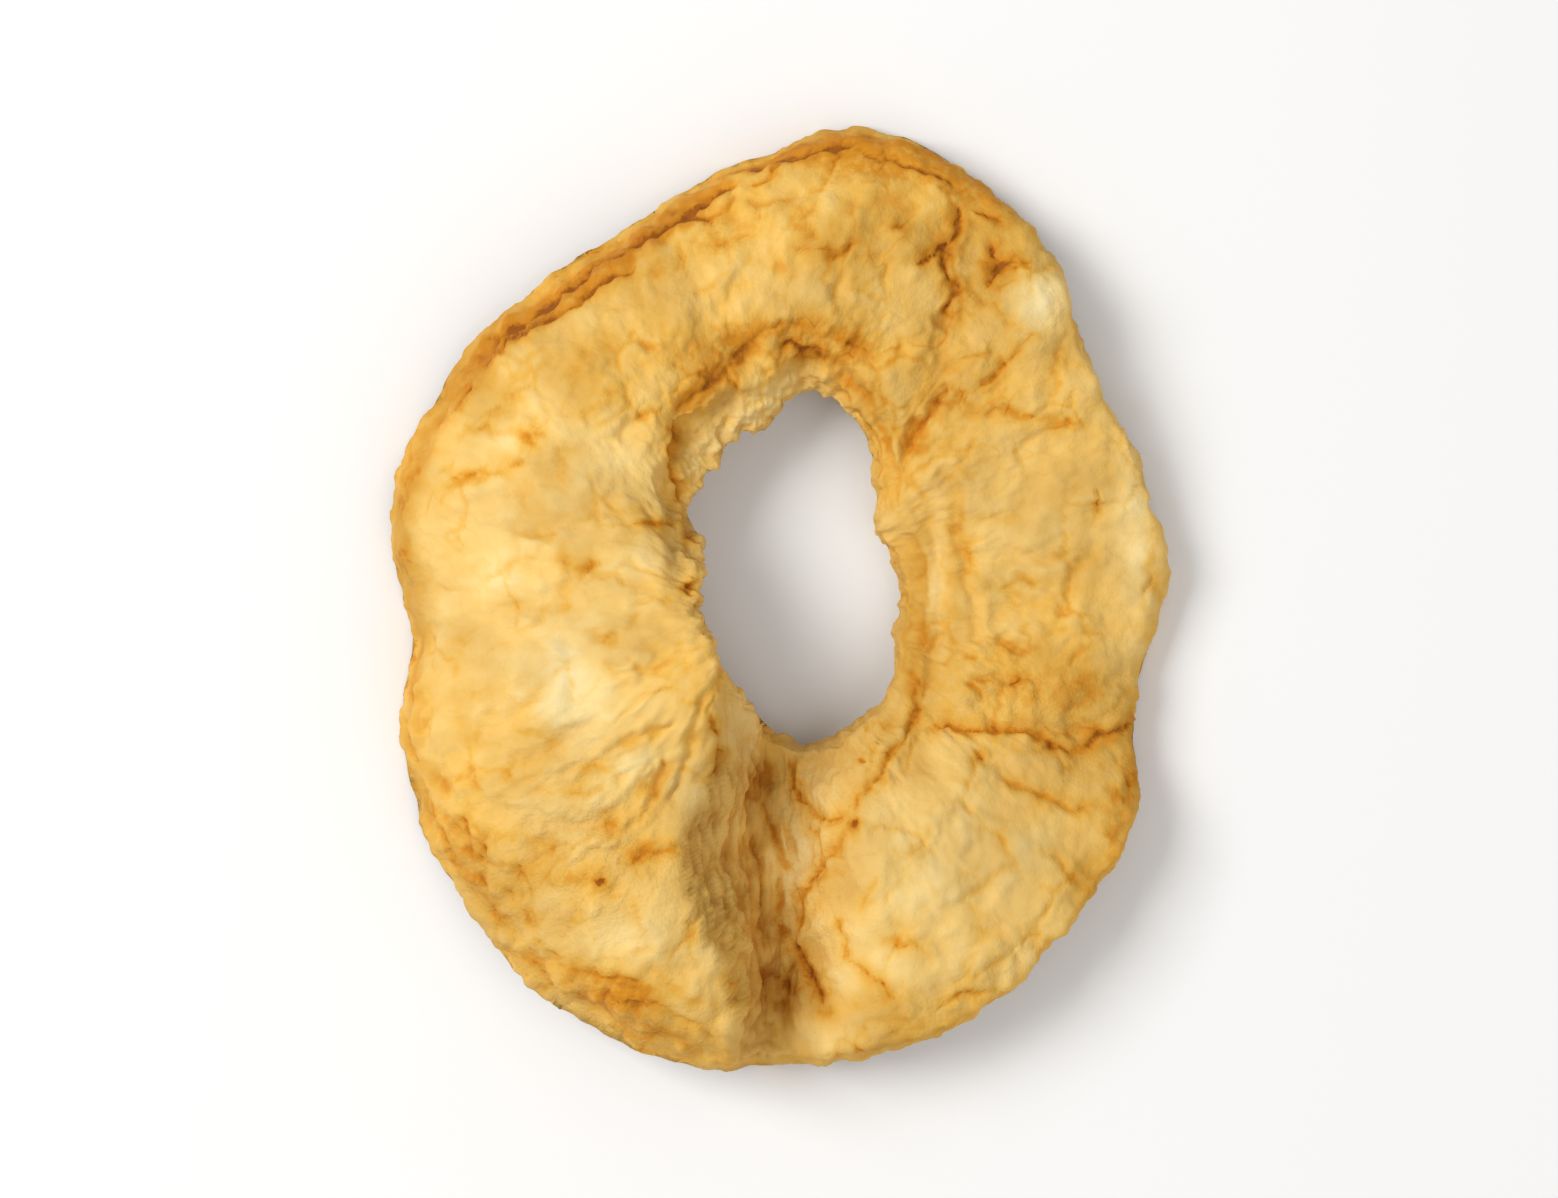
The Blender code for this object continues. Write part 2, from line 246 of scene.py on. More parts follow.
@dataclass(frozen=True)
class SliceForm:
    """The dried slice's form in mm, by the named sizes that its solid is made from.

    Each run of stations gives a value at degrees round the hole from +X. The fall and the brim
    are powers, and the crown's place and the hole's thinning are shares. A wave is
    (size, swing) and a scallop is (number round the edge, depth).
    """

    thickness: float = 3.4
    lip: float = 0.5
    lip_rise: Pair = (0.75, 0.95)
    thinning: float = 0.35
    bluntness: float = 0.15
    edge_reach: float = 4.0
    contact_flat: float = 0.3
    slope_step: float = 0.05
    seed: float = 11.0
    fold: Fold = Fold()
    rim: Stations = (
        (2, 27.2), (14, 27.3), (22, 27.3), (30, 26.7), (37, 27.3), (44, 28.9), (51, 30.6), (60, 31.9),
        (69, 33.3), (77, 33.9), (84, 33.2), (91, 31.7), (98, 30.7), (107, 29.1), (119, 28.2),
        (132, 28.2), (144, 28.6), (154, 28.1), (165, 28.4), (173, 27.6), (186, 26.4), (200, 28.6),
        (213, 30.1), (224, 31.2), (238, 32.8), (249, 33.1), (266, 33.1), (283, 32.3), (300, 31.6),
        (315, 30.2), (325, 29.9), (332, 28.6), (340, 26.8), (349, 26.2),
    )
    hole: Stations = (
        (5, 8.3), (22, 8.3), (38, 8.6), (50, 10.4), (61, 12.4), (71, 13.6), (80, 14.3), (87, 13.1),
        (96, 11.4), (109, 10.5), (122, 9.2), (134, 8.3), (146, 6.4), (160, 5.2), (185, 5.0),
        (210, 5.1), (232, 5.8), (250, 6.9), (264, 8.4), (278, 9.8), (300, 9.6), (318, 9.5),
        (336, 8.4), (350, 8.1),
    )
    crown_height: Stations = (
        (0, 3.5), (30, 4.4), (60, 6.0), (90, 7.2), (120, 8.8), (150, 10.6), (180, 11.9),
        (215, 12.7), (240, 12.9), (262, 11.4), (280, 8.5), (310, 6.4), (340, 4.0),
    )
    rim_height: Stations = (
        (0, 1.9), (12, 2.9), (25, 4.0), (45, 4.4), (68, 2.9), (88, 1.6), (108, 2.6), (130, 3.6),
        (155, 2.3), (180, 1.1), (200, 1.1), (222, 2.4), (242, 4.4), (256, 6.6), (266, 6.6),
        (280, 5.6), (302, 5.7), (320, 4.9), (338, 2.3), (350, 1.5),
    )
    hole_height: Stations = (
        (0, 2.4), (45, 3.6), (90, 5.4), (130, 6.8), (165, 10.2), (200, 12.0), (232, 12.2),
        (262, 8.4), (285, 5.8), (320, 3.5),
    )
    crown_place: Stations = (
        (0, 0.3), (60, 0.4), (120, 0.42), (180, 0.28), (225, 0.38), (252, 0.56), (300, 0.5),
        (340, 0.36),
    )
    fall: Stations = (
        (0, 4.4), (40, 3.8), (90, 2.6), (140, 2.2), (200, 1.9), (245, 2.5), (300, 3.2), (340, 4.2),
    )
    brim: Stations = (
        (0, 1.0), (90, 1.1), (128, 1.4), (165, 1.0), (200, 0.9), (235, 0.95), (300, 1.0),
    )
    rim_slant: Stations = (
        (0, 0.4), (30, 0.4), (60, 0.9), (85, 1.6), (110, 2.6), (135, 3.2), (165, 2.0), (190, 1.8),
        (215, 3.0), (240, 4.2), (258, 3.2), (275, 1.2), (300, 0.6), (330, 0.4),
    )
    hole_slant: Stations = (
        (0, 0.6), (50, 0.9), (80, 1.6), (102, 2.6), (125, 2.9), (148, 2.1), (170, 0.9),
        (215, 0.5), (270, 0.8), (320, 0.6),
    )
    hole_thinning: Stations = (
        (0, 0.2), (60, 0.4), (85, 0.6), (130, 0.62), (160, 0.5), (190, 0.1), (300, 0.1),
    )
    swellings: tuple[Foot, ...] = feet(
        (16.5, 4, 7.5, 5, 80, 0.9), (11, -18.5, 8.5, 7, 10, 0.8), (-9.5, -22, 5.5, 4, 75, 0.6),
        (-17, -6, 8, 5, 70, 0.4), (18, 19.5, 3.2, 2.4, 60, 0.5), (2, 24, 8, 3.2, 0, 0.4),
        (-3.2, 10.1, 3.8, 1.9, 47, 1.15), (18, -9.2, 8, 2, -4, -0.7), (8.6, -10.5, 4.2, 1.8, 62, -0.5),
        (9.6, 13.2, 3.6, 1.8, 55, -0.5), (11.6, 20.5, 7, 2.2, 82, -0.6), (-8.2, -11.2, 2.6, 1.8, 60, -0.4),
        (4.2, -26, 4, 1.8, 112, -0.4),
    )
    waves: tuple[Pair, ...] = ((11.0, 0.42), (4.6, 0.2))
    wave_layer: float = 20.0
    rim_scallops: tuple[Pair, ...] = ((17.0, 0.14), (38.0, 0.12), (84.0, 0.06), (150.0, 0.1))
    rim_layer: float = 3.0
    hole_scallops: tuple[Pair, ...] = ((5.5, 0.15), (13.0, 0.2), (31.0, 0.09), (74.0, 0.08))
    hole_layer: float = 7.0
    torn_from: float = 70.0
    torn_to: float = 160.0
    torn_blend: float = 15.0
    torn_teeth: float = 0.7
    torn_steps: float = 21.0
    ledge_step: Pair = (0.045, 0.105)

    def scallops(self, degrees: np.ndarray, sizes: tuple[Pair, ...], layer: float) -> np.ndarray:
        """Works out uneven bites along an edge.

        Args:
            degrees: angles round the hole.
            sizes: the bites' number round the edge and their depth, one pair for each size.
            layer: what keeps these bites apart from those of another edge.

        Returns:
            How far the edge moves out at each angle, in mm.
        """
        turn = np.radians(degrees)
        total = np.zeros_like(turn)
        for index, (number, depth) in enumerate(sizes):
            reach = number / (2.0 * math.pi)
            place = self.seed + layer + index
            total += depth * grain(np.cos(turn) * reach, np.sin(turn) * reach, place)
        return total

    def edges(self, degrees: np.ndarray) -> tuple[np.ndarray, np.ndarray]:
        """Works out the slice's two edges.

        Args:
            degrees: angles round the hole.

        Returns:
            Distances of the hole's torn edge and of the scalloped rim from the middle.
        """
        torn = smooth(self.torn_from, self.torn_from + self.torn_blend, degrees)
        torn *= 1.0 - smooth(self.torn_to - self.torn_blend, self.torn_to, degrees)
        # A saw edge that rises and falls evenly between -0.5 and 0.5
        teeth = np.abs(np.mod(degrees / HALF_TURN * self.torn_steps, 2.0) - 1.0) - 0.5
        inner = read_rail(self.hole, degrees) + self.scallops(degrees, self.hole_scallops, self.hole_layer)
        outer = read_rail(self.rim, degrees) + self.scallops(degrees, self.rim_scallops, self.rim_layer)
        return inner + self.torn_teeth * torn * teeth, outer

    def height(self, x: np.ndarray, y: np.ndarray) -> np.ndarray:
        """Works out the height of the slice's middle, before the ring is set down.

        Args:
            x: distances to the right.
            y: distances up.

        Returns:
            The height at each point, in mm.
        """
        degrees = np.degrees(np.arctan2(y, x))
        inner = read_rail(self.hole, degrees)
        outer = read_rail(self.rim, degrees)
        share = np.clip((np.hypot(x, y) - inner) / (outer - inner), 0.0, 1.0)
        crown = read_rail(self.crown_height, degrees)
        rim = read_rail(self.rim_height, degrees)
        hole = read_rail(self.hole_height, degrees)
        place = read_rail(self.crown_place, degrees)
        outward = np.clip((share - place) / (1.0 - place), 0.0, 1.0)
        inward = np.clip((place - share) / place, 0.0, 1.0)
        drop = (1.0 - outward ** read_rail(self.fall, degrees)) ** read_rail(self.brim, degrees)
        rimward = rim + (crown - rim) * drop
        holeward = hole + (crown - hole) * (1.0 - inward**2)
        level = np.where(share > place, rimward, holeward) - self.fold.depth_at(x, y)
        for swelling in self.swellings:
            level += swelling.weight(x, y)
        for index, (size, swing) in enumerate(self.waves):
            level += swing * grain(x / size, y / size, self.seed + self.wave_layer + index)
        return level

    def thickness_at(self, share: np.ndarray, degrees: np.ndarray) -> np.ndarray:
        """Works out the slice's thickness: full at the rim, drawn in along its middle and at the hole.

        Args:
            share: how far from the hole to the rim each point lies.
            degrees: its angle round the hole.

        Returns:
            The thickness in mm.
        """
        lip = smooth(*self.lip_rise, share)
        full = self.thickness + self.lip * lip - self.thinning * (1.0 - (2.0 * share - 1.0) ** 2)
        torn = 1.0 - smooth(*self.ledge_step, share)
        return full * (1.0 - read_rail(self.hole_thinning, degrees) * torn)

    def lay_out(self, turn: np.ndarray, tube: np.ndarray) -> tuple[np.ndarray, np.ndarray, np.ndarray]:
        """Lays points over the slice's skin.

        Args:
            turn: angle round the hole, in radians.
            tube: angle round the slice's section, 0 at the rim and a half turn at the hole.

        Returns:
            The points in mm, their share of the way from hole to rim, and how far up the
            section they lie, from -1 under it to 1 on top.
        """
        degrees = np.degrees(turn)
        upward = np.sign(np.sin(tube)) * np.abs(np.sin(tube)) ** self.bluntness
        inner, outer = self.edges(degrees)
        raised = 0.5 + 0.5 * upward
        inner = inner + raised * read_rail(self.hole_slant, degrees)
        outer = outer - raised * read_rail(self.rim_slant, degrees)
        share = 0.5 + 0.5 * np.cos(tube)
        radius = inner + share * (outer - inner)
        x = radius * np.cos(turn)
        y = radius * np.sin(turn)
        step = self.slope_step
        slope_x = (self.height(x + step, y) - self.height(x - step, y)) / (2.0 * step)
        slope_y = (self.height(x, y + step) - self.height(x, y - step)) / (2.0 * step)
        steepness = np.sqrt(1.0 + slope_x**2 + slope_y**2)
        inside = smooth(0.0, self.edge_reach, np.minimum(share, 1.0 - share) * (outer - inner))
        inside = inside * (1.0 - self.fold.narrow_share(x, y))
        half = 0.5 * self.thickness_at(share, degrees) * upward
        lean = half * inside / steepness
        rise = half * (inside / steepness + 1.0 - inside)
        points = np.stack((x - slope_x * lean, y - slope_y * lean, self.height(x, y) + rise), axis=1)
        return points, share, upward


@dataclass(frozen=True)
class Crease:
    """A furrow on the upper face, along a given line, in mm seen from above.

    The end taper is a share of the length. The end strength and the lip height are shares of
    the depth, and the sizes after them are shares of the width.
    """

    path: tuple[Pair, ...]
    width: float
    depth: float
    browning: float
    end_taper: float = 0.18
    end_strength: float = 0.2
    lip_height: float = 0.3
    lip_place: float = 2.2
    lip_width: float = 1.1
    stain_width: float = 3.2
    narrowest: float = 0.3

    def reach(self, x: np.ndarray, y: np.ndarray) -> tuple[np.ndarray, np.ndarray]:
        """Finds the nearest place on the line.

        Args:
            x: distances to the right.
            y: distances up.

        Returns:
            The distance from the line, and how far along it the nearest place lies, 0 to 1.
        """
        places = np.array(self.path, float)
        lengths = np.hypot(*(places[1:] - places[:-1]).T)
        starts = np.concatenate(([0.0], np.cumsum(lengths)))
        nearest = np.full(x.shape, np.inf)
        along = np.zeros(x.shape)
        for index, length in enumerate(lengths):
            step = places[index + 1] - places[index]
            t = ((x - places[index, 0]) * step[0] + (y - places[index, 1]) * step[1]) / length**2
            t = np.clip(t, 0.0, 1.0)
            gap = np.hypot(x - places[index, 0] - t * step[0], y - places[index, 1] - t * step[1])
            closer = gap < nearest
            nearest = np.where(closer, gap, nearest)
            along = np.where(closer, (starts[index] + t * length) / starts[-1], along)
        return nearest, along

    def press(
        self, x: np.ndarray, y: np.ndarray, spread: np.ndarray
    ) -> tuple[np.ndarray, np.ndarray, np.ndarray]:
        """Presses the furrow into points of the plane.

        Args:
            x: distances to the right.
            y: distances up.
            spread: how much wider or narrower than usual the furrow is there.

        Returns:
            The groove's depth in mm with its raised lips, the browning beside it, and how far
            off the line is, in widths of the furrow.
        """
        nearest, along = self.reach(x, y)
        taper = smooth(0.0, self.end_taper, along) * (1.0 - smooth(1.0 - self.end_taper, 1.0, along))
        strength = self.end_strength + (1.0 - self.end_strength) * taper
        width = self.width * spread
        valley = np.exp(-((nearest / width) ** 2))
        lip_off = (nearest - self.lip_place * width) / (self.lip_width * width)
        lips = self.lip_height * np.exp(-(lip_off**2))
        stain = np.exp(-((nearest / (self.stain_width * width)) ** 2))
        off = nearest / (width * np.clip(strength, self.narrowest, 1.0))
        return self.depth * strength * (lips - valley), self.browning * strength * stain, off


def furrows(*rows: tuple) -> tuple[Crease, ...]:
    """Makes a crease of each row: its path, width, depth, browning and, at times, end taper."""
    return tuple(Crease(*row) for row in rows)


def beside_hole(
    form: SliceForm, offset: float, start: float, end: float, count: int = 12
) -> tuple[Pair, ...]:
    """Follows the hole's edge at an offset.

    Args:
        form: the slice.
        offset: the distance from the hole's edge, in mm.
        start: the first angle, in degrees.
        end: the last angle, in degrees.
        count: the number of points.

    Returns:
        The line's points.
    """
    degrees = np.linspace(start, end, count)
    radius = read_rail(form.hole, degrees) + offset
    turn = np.radians(degrees)
    return tuple(zip(radius * np.cos(turn), radius * np.sin(turn)))


@dataclass(frozen=True)
class SurfaceMarks:
    """Where the upper face is creased, stained, pale, veined, calm and coarse, and where painted shade
    darkens its colour, off the fold (shaded) and on it (folded).

    Each crease is (path, width, depth, browning, end taper) and every other mark is
    (x, y, length, breadth, turn, strength), in mm and degrees, seen from above.
    """

    form: SliceForm = SliceForm()
    seed: float = 41.0
    wander: tuple[Pair, ...] = ((1.9, 0.17), (0.7, 0.1))
    flank_hold: float = 0.7
    spread_size: float = 1.1
    spread_swing: float = 0.55
    spread_range: Pair = (0.5, 1.8)
    spread_layer: float = 9.0
    valley_filling: float = 0.5
    far_off: float = 6.0
    creases: tuple[Crease, ...] = furrows(
        # Along the upper left rim, between the cut face and the slice's side
        (((-20, 17.2), (-18.6, 18.2), (-17, 19.2), (-15, 21.2), (-13, 22.9), (-11.4, 23.7), (-10.1, 24.2),
          (-8.9, 25), (-7.7, 25.7), (-6.5, 26.6), (-5.5, 27.3), (-4.4, 27.9), (-2.9, 28.6), (-2.2, 29.2)),
          0.24, 0.32, 1.15, 0.1),
        (((-12.2, 23.3), (-10.1, 24.2), (-8.9, 25), (-7.7, 25.7), (-6.5, 26.6), (-5.5, 27.3), (-4, 28.1)),
          0.3, 0.08, 1.3, 0.25),
        (((-3.4, 29.8), (-2.4, 30.3), (0.4, 30.6), (2.6, 31.1), (5.2, 31.4)), 0.2, 0.24, 1, 0.1),
        (((-2.4, 29.5), (-1, 30), (0.7, 30.4), (2.5, 31.5)), 0.2, 0.2, 0.8, 0.1),
        (((-9.8, 23), (-10.8, 22.2), (-12.6, 21.3), (-14.6, 19.9), (-16, 19), (-17.8, 18), (-19.5, 17),
          (-21.2, 15.6)), 0.17, 0.22, 0.8, 0.12),
        (((-6, 28.6), (-8.4, 26.8), (-10.8, 25.2), (-13.4, 23.8)), 0.22, 0.16, 0.35),
        (((-14.2, 23.2), (-16.4, 21.8), (-18.6, 20.2), (-20.2, 18.6)), 0.22, 0.16, 0.4),
        (((0.6, 30.8), (0, 29.8), (-1.2, 28.8), (-2.4, 28.2)), 0.18, 0.16, 0.6),
        (((-3.8, 28.4), (-3.2, 27.6), (-3.6, 26.8), (-5.2, 26.4), (-6.6, 26.2), (-7.6, 25.6)),
          0.16, 0.16, 0.6),
        (((-21.2, 15), (-22, 14), (-22.6, 12.8)), 0.16, 0.16, 0.4),
        # Wide soft folds on the high left side
        (((-18.5, -11.6), (-16.2, -10.6), (-13.8, -9.2), (-11.7, -7.9)), 0.6, 0.26, 0.12),
        (((-20.5, -1.2), (-17.6, -0.6), (-14.8, 0.6), (-12.6, 2.4)), 0.7, 0.22, 0.1),
        (((-23.6, 5), (-21.4, 6.4), (-18.4, 7.2), (-15.4, 8.6), (-13.2, 10.8)), 0.7, 0.26, 0.12),
        (((-10.8, -6.8), (-9, -5.4), (-7.4, -3.2)), 0.6, 0.22, 0.08),
        (((-15.6, -15.6), (-13, -15.2), (-10.6, -14), (-9, -12.2)), 0.6, 0.32, 0.12),
        (((-20.2, -13.6), (-18, -14.6), (-16.4, -16.6), (-15.6, -18.8)), 0.6, 0.24, 0.08),
        (((-11.6, -18.8), (-10.2, -20.4), (-9.6, -22.8), (-9.8, -24.6)), 0.6, 0.2, 0.05),
        (((-17.8, 4.6), (-14.6, 4.9), (-12, 6.2), (-10, 8.4)), 0.7, 0.2, 0.06),
        (((-21.4, -9.4), (-19.2, -8.8), (-17, -7.2), (-15.6, -5.2)), 0.7, 0.22, 0.06),
        (((-13.6, -3.6), (-12, -2.8), (-10, -2.6), (-7.6, -3.6)), 0.5, 0.18, 0.1),
        (((-14.6, 13.8), (-12.2, 14.8), (-10.4, 16.6)), 0.7, 0.24, 0.08),
        (((-11, 10.6), (-9.8, 11.8), (-8.9, 13.6)), 0.6, 0.22, 0.08),
        # Wide soft folds elsewhere
        (((-4.8, 19), (-3.4, 20.4), (-2.6, 22.6)), 0.6, 0.22, 0.06),
        (((3.6, 19.8), (4.2, 22), (3.6, 24.4)), 0.5, 0.18, 0.05),
        (((-9.4, 16.8), (-8, 18.6), (-7.4, 20.6)), 0.6, 0.22, 0.06),
        (((13.8, -13.4), (12, -15), (10.8, -17.2)), 0.6, 0.18, 0.05),
        (((9, -20.6), (11, -21.4), (13.4, -20.8), (15.6, -19.4)), 0.7, 0.22, 0.06),
        (((11.6, -24.2), (13.6, -23.6), (15.8, -22)), 0.6, 0.2, 0.05),
        (((14.4, 2.6), (16.6, 3), (19.2, 2.6)), 0.6, 0.16, 0.05),
        # Across the top
        (((7, 31.4), (7.4, 30.4), (9, 29.9), (10.6, 29.4), (12.6, 28.5)), 0.18, 0.2, 0.7, 0.1),
        (((13.4, 27), (14.6, 26.4), (15.6, 26.2)), 0.18, 0.16, 0.6),
        (((12.6, 27.6), (12.3, 26.2), (12.4, 25.2), (11.4, 24.2), (10.4, 23.4), (9.2, 22.8)),
          0.24, 0.28, 0.95, 0.12),
        (((11.9, 24.6), (11.4, 23), (11.9, 22), (12.3, 21.2), (11.7, 20.2), (11.3, 19.2)),
          0.24, 0.28, 0.85, 0.1),
        (((11.6, 20), (11.3, 18.4), (11.3, 16.6), (11.5, 14.8)), 0.42, 0.36, 0.25),
        (((14.2, 24.8), (14.6, 23.6), (15.2, 22.8), (14.6, 22), (14.1, 21.2)), 0.26, 0.28, 0.9),
        (((15, 23), (16.4, 23.4), (17.6, 22.9)), 0.18, 0.12, 0.5),
        (((14, 20.8), (15.2, 19.8), (15.8, 18.8), (17.4, 18.1), (18.8, 17.6)), 0.15, 0.14, 0.4),
        (((17.6, 18.1), (16.6, 17.4), (16, 16.6), (15.2, 15.6), (14.6, 14.8), (13.6, 14.2)),
          0.18, 0.2, 0.65, 0.1),
        (((12.2, 16.5), (13.8, 16.6), (15.2, 16.9)), 0.15, 0.12, 0.3),
        (((14.2, 12.2), (15.2, 13), (16.8, 12.6), (18.8, 12.3), (19.8, 12), (20.1, 13)),
          0.26, 0.2, 0.34, 0.1),
        (((0.2, 24), (1.6, 23.8), (3.2, 23.9), (4.6, 23.5)), 0.14, 0.1, 0.4),
        (((-6, 24.1), (-4.6, 24.2), (-3, 24.8), (-1.4, 25.2)), 0.18, 0.08, 0.3),
        (((7.8, 25.1), (8.6, 25.4), (9.2, 26)), 0.15, 0.14, 0.4, 0.3),
        (((5.4, 27.6), (5, 26), (5.2, 24.6), (4.6, 22.9)), 0.15, 0.12, 0.25),
        (((8, 23.8), (7.4, 22.4), (7.8, 20.6)), 0.16, 0.14, 0.22),
        (((2.6, 27.4), (1.9, 25.8), (2.4, 24.4)), 0.15, 0.1, 0.2),
        (((-7, 24.8), (-6.6, 23.4), (-7.1, 22.2)), 0.15, 0.12, 0.25),
        (((-1.8, 23.8), (-2.4, 22.4), (-2.2, 20.6)), 0.15, 0.1, 0.18),
        # Beside the hole on its upper right, down its right side and round the square lump
        (((11.8, 15), (11.2, 14), (10.4, 12.9), (9.8, 12), (9, 10.8), (8.2, 10)), 0.34, 0.4, 0.6, 0.12),
        (((11, 9.8), (12, 7.4), (12.2, 5.4), (12.4, 4), (12.8, 2.2), (13.3, 0.6), (13.4, -1), (13.9, -2.5),
          (15, -3), (16.6, -3.5), (17.4, -4.2)), 0.42, 0.34, 0.12, 0.08),
        (((22.1, 7.6), (22, 5.6)), 0.16, 0.16, 0.8, 0.3),
        (((22.2, 4.4), (21, 2.4), (20.3, 0.8), (19.6, -0.8), (19, -2.6), (18.8, -3.8)), 0.5, 0.24, 0.2),
        (((15.8, -5.8), (16.4, -5.5), (17, -5.2)), 0.16, 0.2, 1, 0.3),
        (((12.8, -5.7), (13.8, -6.1), (14.2, -6.9)), 0.15, 0.14, 0.4),
        (((9.9, -4.8), (9.5, -6.2), (9.6, -7.4), (8.6, -9.4), (7.4, -11.2), (6.3, -12.6), (5.3, -13.5),
          (4.9, -14.6)), 0.22, 0.3, 0.7, 0.08),
        (((8.3, -7.6), (7.2, -8.9), (6.4, -10.2), (5.9, -11.8)), 0.15, 0.16, 0.35),
        (((5.1, -10.5), (5.8, -11.1)), 0.16, 0.14, 0.8, 0.3),
        # Between the square lump and the lower right lobe
        (((9.8, -8.9), (12, -8.5), (13.4, -8.8), (14.2, -9.1), (15.6, -9.1), (17.6, -9.3), (18.8, -9.9),
          (20.2, -10.4), (21.2, -10), (22.4, -9.3), (24.4, -8.9), (25.6, -8.9)), 0.22, 0.28, 0.75, 0.08),
        (((13.5, -10.3), (14.3, -11.4)), 0.17, 0.2, 1, 0.3),
        (((15.2, -11.7), (16.6, -12.6), (18, -13.4), (19.4, -13.9), (20.4, -14.4), (22.2, -14.2)),
          0.18, 0.18, 0.55, 0.12),
        (((17.6, -17), (19.2, -18), (20.9, -19.7)), 0.17, 0.14, 0.4),
        (((11, -15.3), (9.9, -16.6), (8.6, -17.4)), 0.16, 0.12, 0.35),
        (((6.7, -18.2), (6.2, -20), (5.2, -21.6)), 0.17, 0.12, 0.35),
        (((7, -23), (8, -23.6), (9.6, -23.4)), 0.16, 0.12, 0.35),
        # Along the lower right rim
        (((11, -26.6), (13.4, -25.8), (15.4, -24.6), (17, -23.4), (18.6, -22.1)), 0.16, 0.14, 0.25),
        (((10.8, -28.4), (11.3, -27.3), (12.8, -26.9), (14.2, -26.8), (15.6, -27)), 0.16, 0.16, 0.4),
        (((5.2, -30.3), (5.9, -31.3)), 0.14, 0.14, 0.5, 0.3),
        # In the fold and to its right
        # A soft hollow; its browning paints the shade that falls in it
        (((-0.5, -10.8), (-0.9, -12.4), (-1.1, -14.2)), 0.45, 0.55, 0.5),
        (((-1.2, -11.2), (-1.6, -12.6), (-1.5, -14.2)), 0.2, 0.28, 1),
        (((-1.2, -13.8), (-0.8, -15.2), (0, -17.2), (0.6, -19)), 0.2, 0.3, 0.9, 0.1),
        (((0.6, -10.8), (0.9, -12), (1.4, -13.6), (2.2, -14.8), (3.4, -15), (4.8, -14.8)),
          0.18, 0.26, 0.8, 0.1),
        (((4.9, -14.9), (5.2, -16)), 0.26, 0.34, 1.1, 0.3),
        (((4.4, -15.6), (3.6, -17.2), (2.4, -18.8), (1.8, -20.2), (1.3, -22), (1, -23.4)),
          0.19, 0.26, 0.75, 0.1),
        (((1, -23), (1, -23.8), (1.7, -25.2), (2.6, -26.6), (3.2, -28.2)), 0.22, 0.28, 0.8),
        (((3.7, -21.4), (4.4, -23), (4.8, -24.6), (5.8, -25.4), (7.2, -26.4), (8.4, -27.6)),
          0.18, 0.24, 0.7, 0.12),
        (((-4, -9.6), (-3.9, -10.8), (-4, -12.3)), 0.24, 0.3, 1.1, 0.3),
        (((0.2, -14.6), (0.5, -16.4), (1.2, -18)), 0.17, 0.24, 0.6),
        (((-0.2, -18.6), (0.2, -20.4), (-0.1, -22.4), (0.3, -24)), 0.18, 0.28, 0.75),
        (((1.4, -15.4), (2.3, -15.9), (2.7, -17.1), (2.5, -18.6)), 0.17, 0.22, 0.6),
        (((0.9, -19.6), (1.2, -21), (0.8, -22.6)), 0.16, 0.22, 0.5),
        (((-0.8, -25.6), (0.2, -26.2), (0.6, -27.4)), 0.16, 0.24, 0.8, 0.3),
        (((0.9, -24.8), (0.3, -25.8), (0.2, -27)), 0.15, 0.22, 0.7, 0.3),
        (((-1.2, -27), (-0.4, -27.8), (0.8, -28)), 0.16, 0.22, 0.7, 0.3),
        # Down the steep side of the fold
        (((-1.6, -15.6), (-1.3, -19), (-1.1, -22), (-0.8, -23), (-1.1, -24.6)), 0.17, 0.26, 0.9, 0.1),
        (((-3.6, -24.8), (-3, -26.4), (-2.3, -28.4)), 0.2, 0.3, 0.7),
        (((-1.2, -25), (-0.9, -26.4), (-0.3, -27.6), (-0.1, -28.8)), 0.26, 0.2, 0.5),
        (((-6.4, -15.6), (-6.1, -18.2), (-5.4, -21), (-4.5, -23.8)), 0.18, 0.2, 0.3, 0.2),
        (((-5.8, -14.2), (-5.6, -17), (-5, -20), (-4, -23.4), (-3.4, -25.4)), 0.17, 0.22, 0.4, 0.12),
        (((-5, -13), (-4.8, -16.4), (-4.3, -19.6), (-3.5, -23)), 0.16, 0.22, 0.45, 0.15),
        (((-4.3, -12.4), (-4.2, -15), (-3.9, -18.4), (-3.1, -22), (-2.6, -24.6)), 0.17, 0.24, 0.5, 0.1),
        (((-3.3, -11), (-3, -13.2), (-3.2, -16.2), (-2.9, -19.2), (-2.3, -22)), 0.16, 0.24, 0.55, 0.12),
        (((-2.2, -10.6), (-1.9, -13.4), (-2.1, -17.4), (-1.9, -20.8), (-1.6, -23.6)),
          0.17, 0.24, 0.55, 0.1),
        # On the ridge of the fold
        (((-4.2, -5.2), (-4.9, -6.4), (-5.5, -8.2), (-6.1, -10.2), (-6.9, -12.6), (-7.3, -14.2)),
          0.3, 0.26, 0.3),
        (((-4.6, -7.6), (-4.1, -8.5), (-3.9, -9.6)), 0.18, 0.2, 0.7),
        (((-7.4, -10.6), (-8.1, -12.2), (-8.9, -13.8)), 0.36, 0.36, 0.5),
        (((-6.6, -8.2), (-8.2, -8.8), (-9.6, -9.3), (-10.8, -9.9), (-12.2, -10.8)), 0.24, 0.2, 0.3),
        (((-6.2, -16.4), (-7.6, -16.8), (-9.2, -17), (-10.2, -17.8)), 0.2, 0.18, 0.4),
        (((-6.1, -21.2), (-5.8, -22.6), (-5, -23.6)), 0.17, 0.16, 0.35),
        # Between the high left side and its rounded edge
        (((-24.9, -4.6), (-24.9, -8), (-24.6, -10.8), (-23.6, -12.8), (-23, -14.6), (-21.8, -16.6),
          (-20.8, -17.8)), 0.3, 0.12, 0.12, 0.1),
